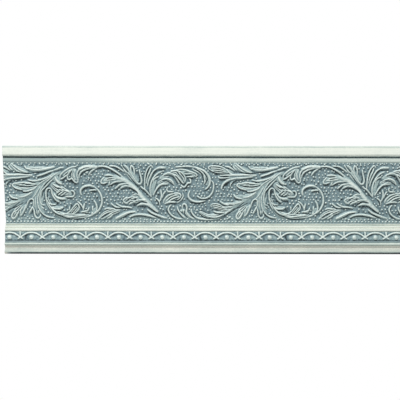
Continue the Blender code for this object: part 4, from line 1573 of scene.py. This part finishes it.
    def close(self, sheet: bmesh.types.BMesh) -> None:
        """Square the sheet's border and carry it back to the flat back.

        Args:
            sheet: the carved face, which becomes the whole strip.
        """
        end, edge = self.length / 2 * MM, self.height / 2 * MM
        for vertex in sheet.verts:
            if vertex.is_boundary:
                if end - abs(vertex.co.x) < edge - abs(vertex.co.z):
                    vertex.co.x = math.copysign(end, vertex.co.x)
                else:
                    vertex.co.z = math.copysign(edge, vertex.co.z)
        border = [item for item in sheet.edges if item.is_boundary]
        for item in border:
            item.smooth = False
        made = bmesh.ops.extrude_edge_only(sheet, edges=border)["geom"]
        for item in made:
            if isinstance(item, bmesh.types.BMVert):
                item.co.y = 0.0
        for wall in made:
            if isinstance(wall, bmesh.types.BMFace):
                wall.normal_update()
                wall.material_index = 1 if abs(wall.normal.x) > abs(wall.normal.z) else 0
        rim = [item for item in sheet.edges if item.is_boundary]
        for face in bmesh.ops.contextual_create(sheet, geom=rim)["faces"]:
            face.material_index = 2
        for item in rim:
            item.smooth = False
        bmesh.ops.recalc_face_normals(sheet, faces=sheet.faces)

    def turn_corners(self, sheet: bmesh.types.BMesh) -> None:
        """Shade the face smooth, but keep the plain mouldings' arrises sharp.

        Args:
            sheet: the whole strip.
        """
        foot, top = self.section.frieze
        low, high = (foot + self.smooth_margin) * MM, (top - self.smooth_margin) * MM
        for face in sheet.faces:
            face.smooth = True
        for item in sheet.edges:
            if all(low < vertex.co.z < high for vertex in item.verts) or len(item.link_faces) != 2:
                continue
            inner = abs(item.verts[0].co.z) < self.inner_height * MM
            if item.calc_face_angle(0.0) > self.sharp_turn * (self.inner_turn if inner else 1.0):
                item.smooth = False

    def build(self) -> bpy.types.Object:
        """Build the strip.

        Returns:
            The strip's object.
        """
        patch, rise, glaze = self.carve()
        log.info("carved the face")
        sheet = self.thinned(*self.face_mesh(patch, rise, glaze))
        self.close(sheet)
        bmesh.ops.triangulate(sheet, faces=sheet.faces)
        self.turn_corners(sheet)
        mesh = bpy.data.meshes.new("carved_moulding")
        sheet.to_mesh(mesh)
        sheet.free()
        places = np.zeros(len(mesh.vertices) * 3, np.float32)
        mesh.vertices.foreach_get("co", places)
        places = places.reshape(-1, 3) / MM
        # each vertex takes the glaze, with the painted shadows, highlights and light in it
        coat = mesh.attributes.new("glaze", "FLOAT", "POINT")
        coat.data.foreach_set("value", patch.read(glaze, places[:, 0], places[:, 2]).astype(np.float32))
        piece = put_in_scene("carved_moulding", mesh)
        piece.modifiers.new("even_shading", "WEIGHTED_NORMAL").keep_sharp = True
        log.info("built the strip with %d triangles", len(mesh.polygons))
        return piece

    def dress(self, piece: bpy.types.Object, grain: WoodGrain, mottle: Mottle) -> None:
        """Give the strip its paint and its bare ends and back.

        Args:
            piece: the strip.
            grain: the shared wood grain.
            mottle: the shared mottle.
        """
        piece.data.materials.append(GlazedPaint().build(grain, mottle, self.section))
        for sawing in (Sawing.CROSSCUT, Sawing.PLANED):
            piece.data.materials.append(BareWood(sawing).build(grain, mottle))
        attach(piece, "root")
        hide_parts(NODE)


@dataclass
class Studio:
    """A plain pale floor, soft light and the camera at the photograph's angle."""

    sight: Sight = field(default_factory=Sight)
    floor_drop: float = 450.0
    floor_size: Point = (3000.0, 1800.0)
    floor_tones: tuple[Colour, Colour] = ((0.84, 0.84, 0.83), (0.88, 0.88, 0.87))
    floor_clouds: float = 3.0
    floor_roughness: float = 0.8
    lens: float = 72.0
    sensor: float = 36.0
    nearest: float = 0.01
    key_from: Triple = (-0.2, -0.95, 1.15)
    key_distance: float = 1.6
    key_size: float = 0.3
    key_power: float = 24.0
    fill: float = 0.36
    fill_tint: Colour = (0.97, 0.99, 1.0)

    def build(self) -> None:
        """Build the floor, the lights and the camera."""
        self.lay_floor()
        self.light()
        self.set_camera()

    def lay_floor(self) -> None:
        """Lay the floor under the strip, below the camera's view."""
        half_x, half_y = (size / 2 * MM for size in self.floor_size)
        sheet = bmesh.new()
        bmesh.ops.create_grid(sheet, x_segments=1, y_segments=1, size=1.0)
        for vertex in sheet.verts:
            vertex.co = (vertex.co.x * half_x, vertex.co.y * half_y, -self.floor_drop * MM)
        mesh = bpy.data.meshes.new("floor")
        sheet.to_mesh(mesh)
        sheet.free()
        material, bench, shader, place = start_material("pale_floor")
        tones = ((*tone, 1.0) for tone in self.floor_tones)
        bench.feed(shader.inputs["Base Color"], bench.mix(bench.noise(place, self.floor_clouds), *tones))
        bench.feed(shader.inputs["Roughness"], self.floor_roughness)
        mesh.materials.append(material)
        floor = put_in_scene("floor", mesh)

    def light(self) -> None:
        """Light the strip softly from above, with a pale surround."""
        lamp = bpy.data.lights.new("key", "AREA")
        lamp.shape = "DISK"
        lamp.size = self.key_size
        lamp.energy = self.key_power
        key = put_in_scene("key", lamp)
        direction = Vector(self.key_from).normalized()
        key.location = direction * self.key_distance
        key.rotation_euler = direction.to_track_quat("Z", "Y").to_euler()
        world = bpy.data.worlds.new("pale_surround")
        world.use_nodes = True
        bench = Bench(world.node_tree)
        soft = world.node_tree.nodes["Background"]
        bench.feed(soft.inputs["Color"], (*self.fill_tint, 1.0))
        bench.feed(soft.inputs["Strength"], self.fill)
        seen = bench.fed("ShaderNodeBackground", (1.0,) * 4)
        from_camera = bench.add("ShaderNodeLightPath").outputs["Is Camera Ray"]
        both = bench.fed("ShaderNodeMixShader", from_camera, soft.outputs[0], seen.outputs[0])
        bench.feed(world.node_tree.nodes["World Output"].inputs["Surface"], both.outputs[0])
        bpy.context.scene.world = world

    def set_camera(self) -> None:
        """Set the camera level in front of the strip, a little left of its middle."""
        lens = bpy.data.cameras.new("camera")
        lens.lens = self.lens
        lens.sensor_width = self.sensor
        lens.clip_start = self.nearest
        camera = put_in_scene("camera", lens)
        sight = self.sight
        camera.location = [part * MM for part in (sight.eye_along, -sight.eye_out, sight.eye_up)]
        camera.rotation_euler = (math.radians(90), math.radians(sight.tilt), 0.0)
        bpy.context.scene.camera = camera


def main() -> None:
    """Build the studio and the strip."""
    logging.basicConfig(level=logging.INFO, format="%(name)s: %(message)s")
    scene = bpy.context.scene
    scene.view_settings.view_transform = "Standard"
    Studio().build()
    grain, mottle = WoodGrain(), Mottle()
    grain.build()
    mottle.build()
    strip = Strip()
    piece = strip.build()
    strip.dress(piece, grain, mottle)
    log.info("dressed %s", piece.name)


if __name__ == "__main__":
    main()
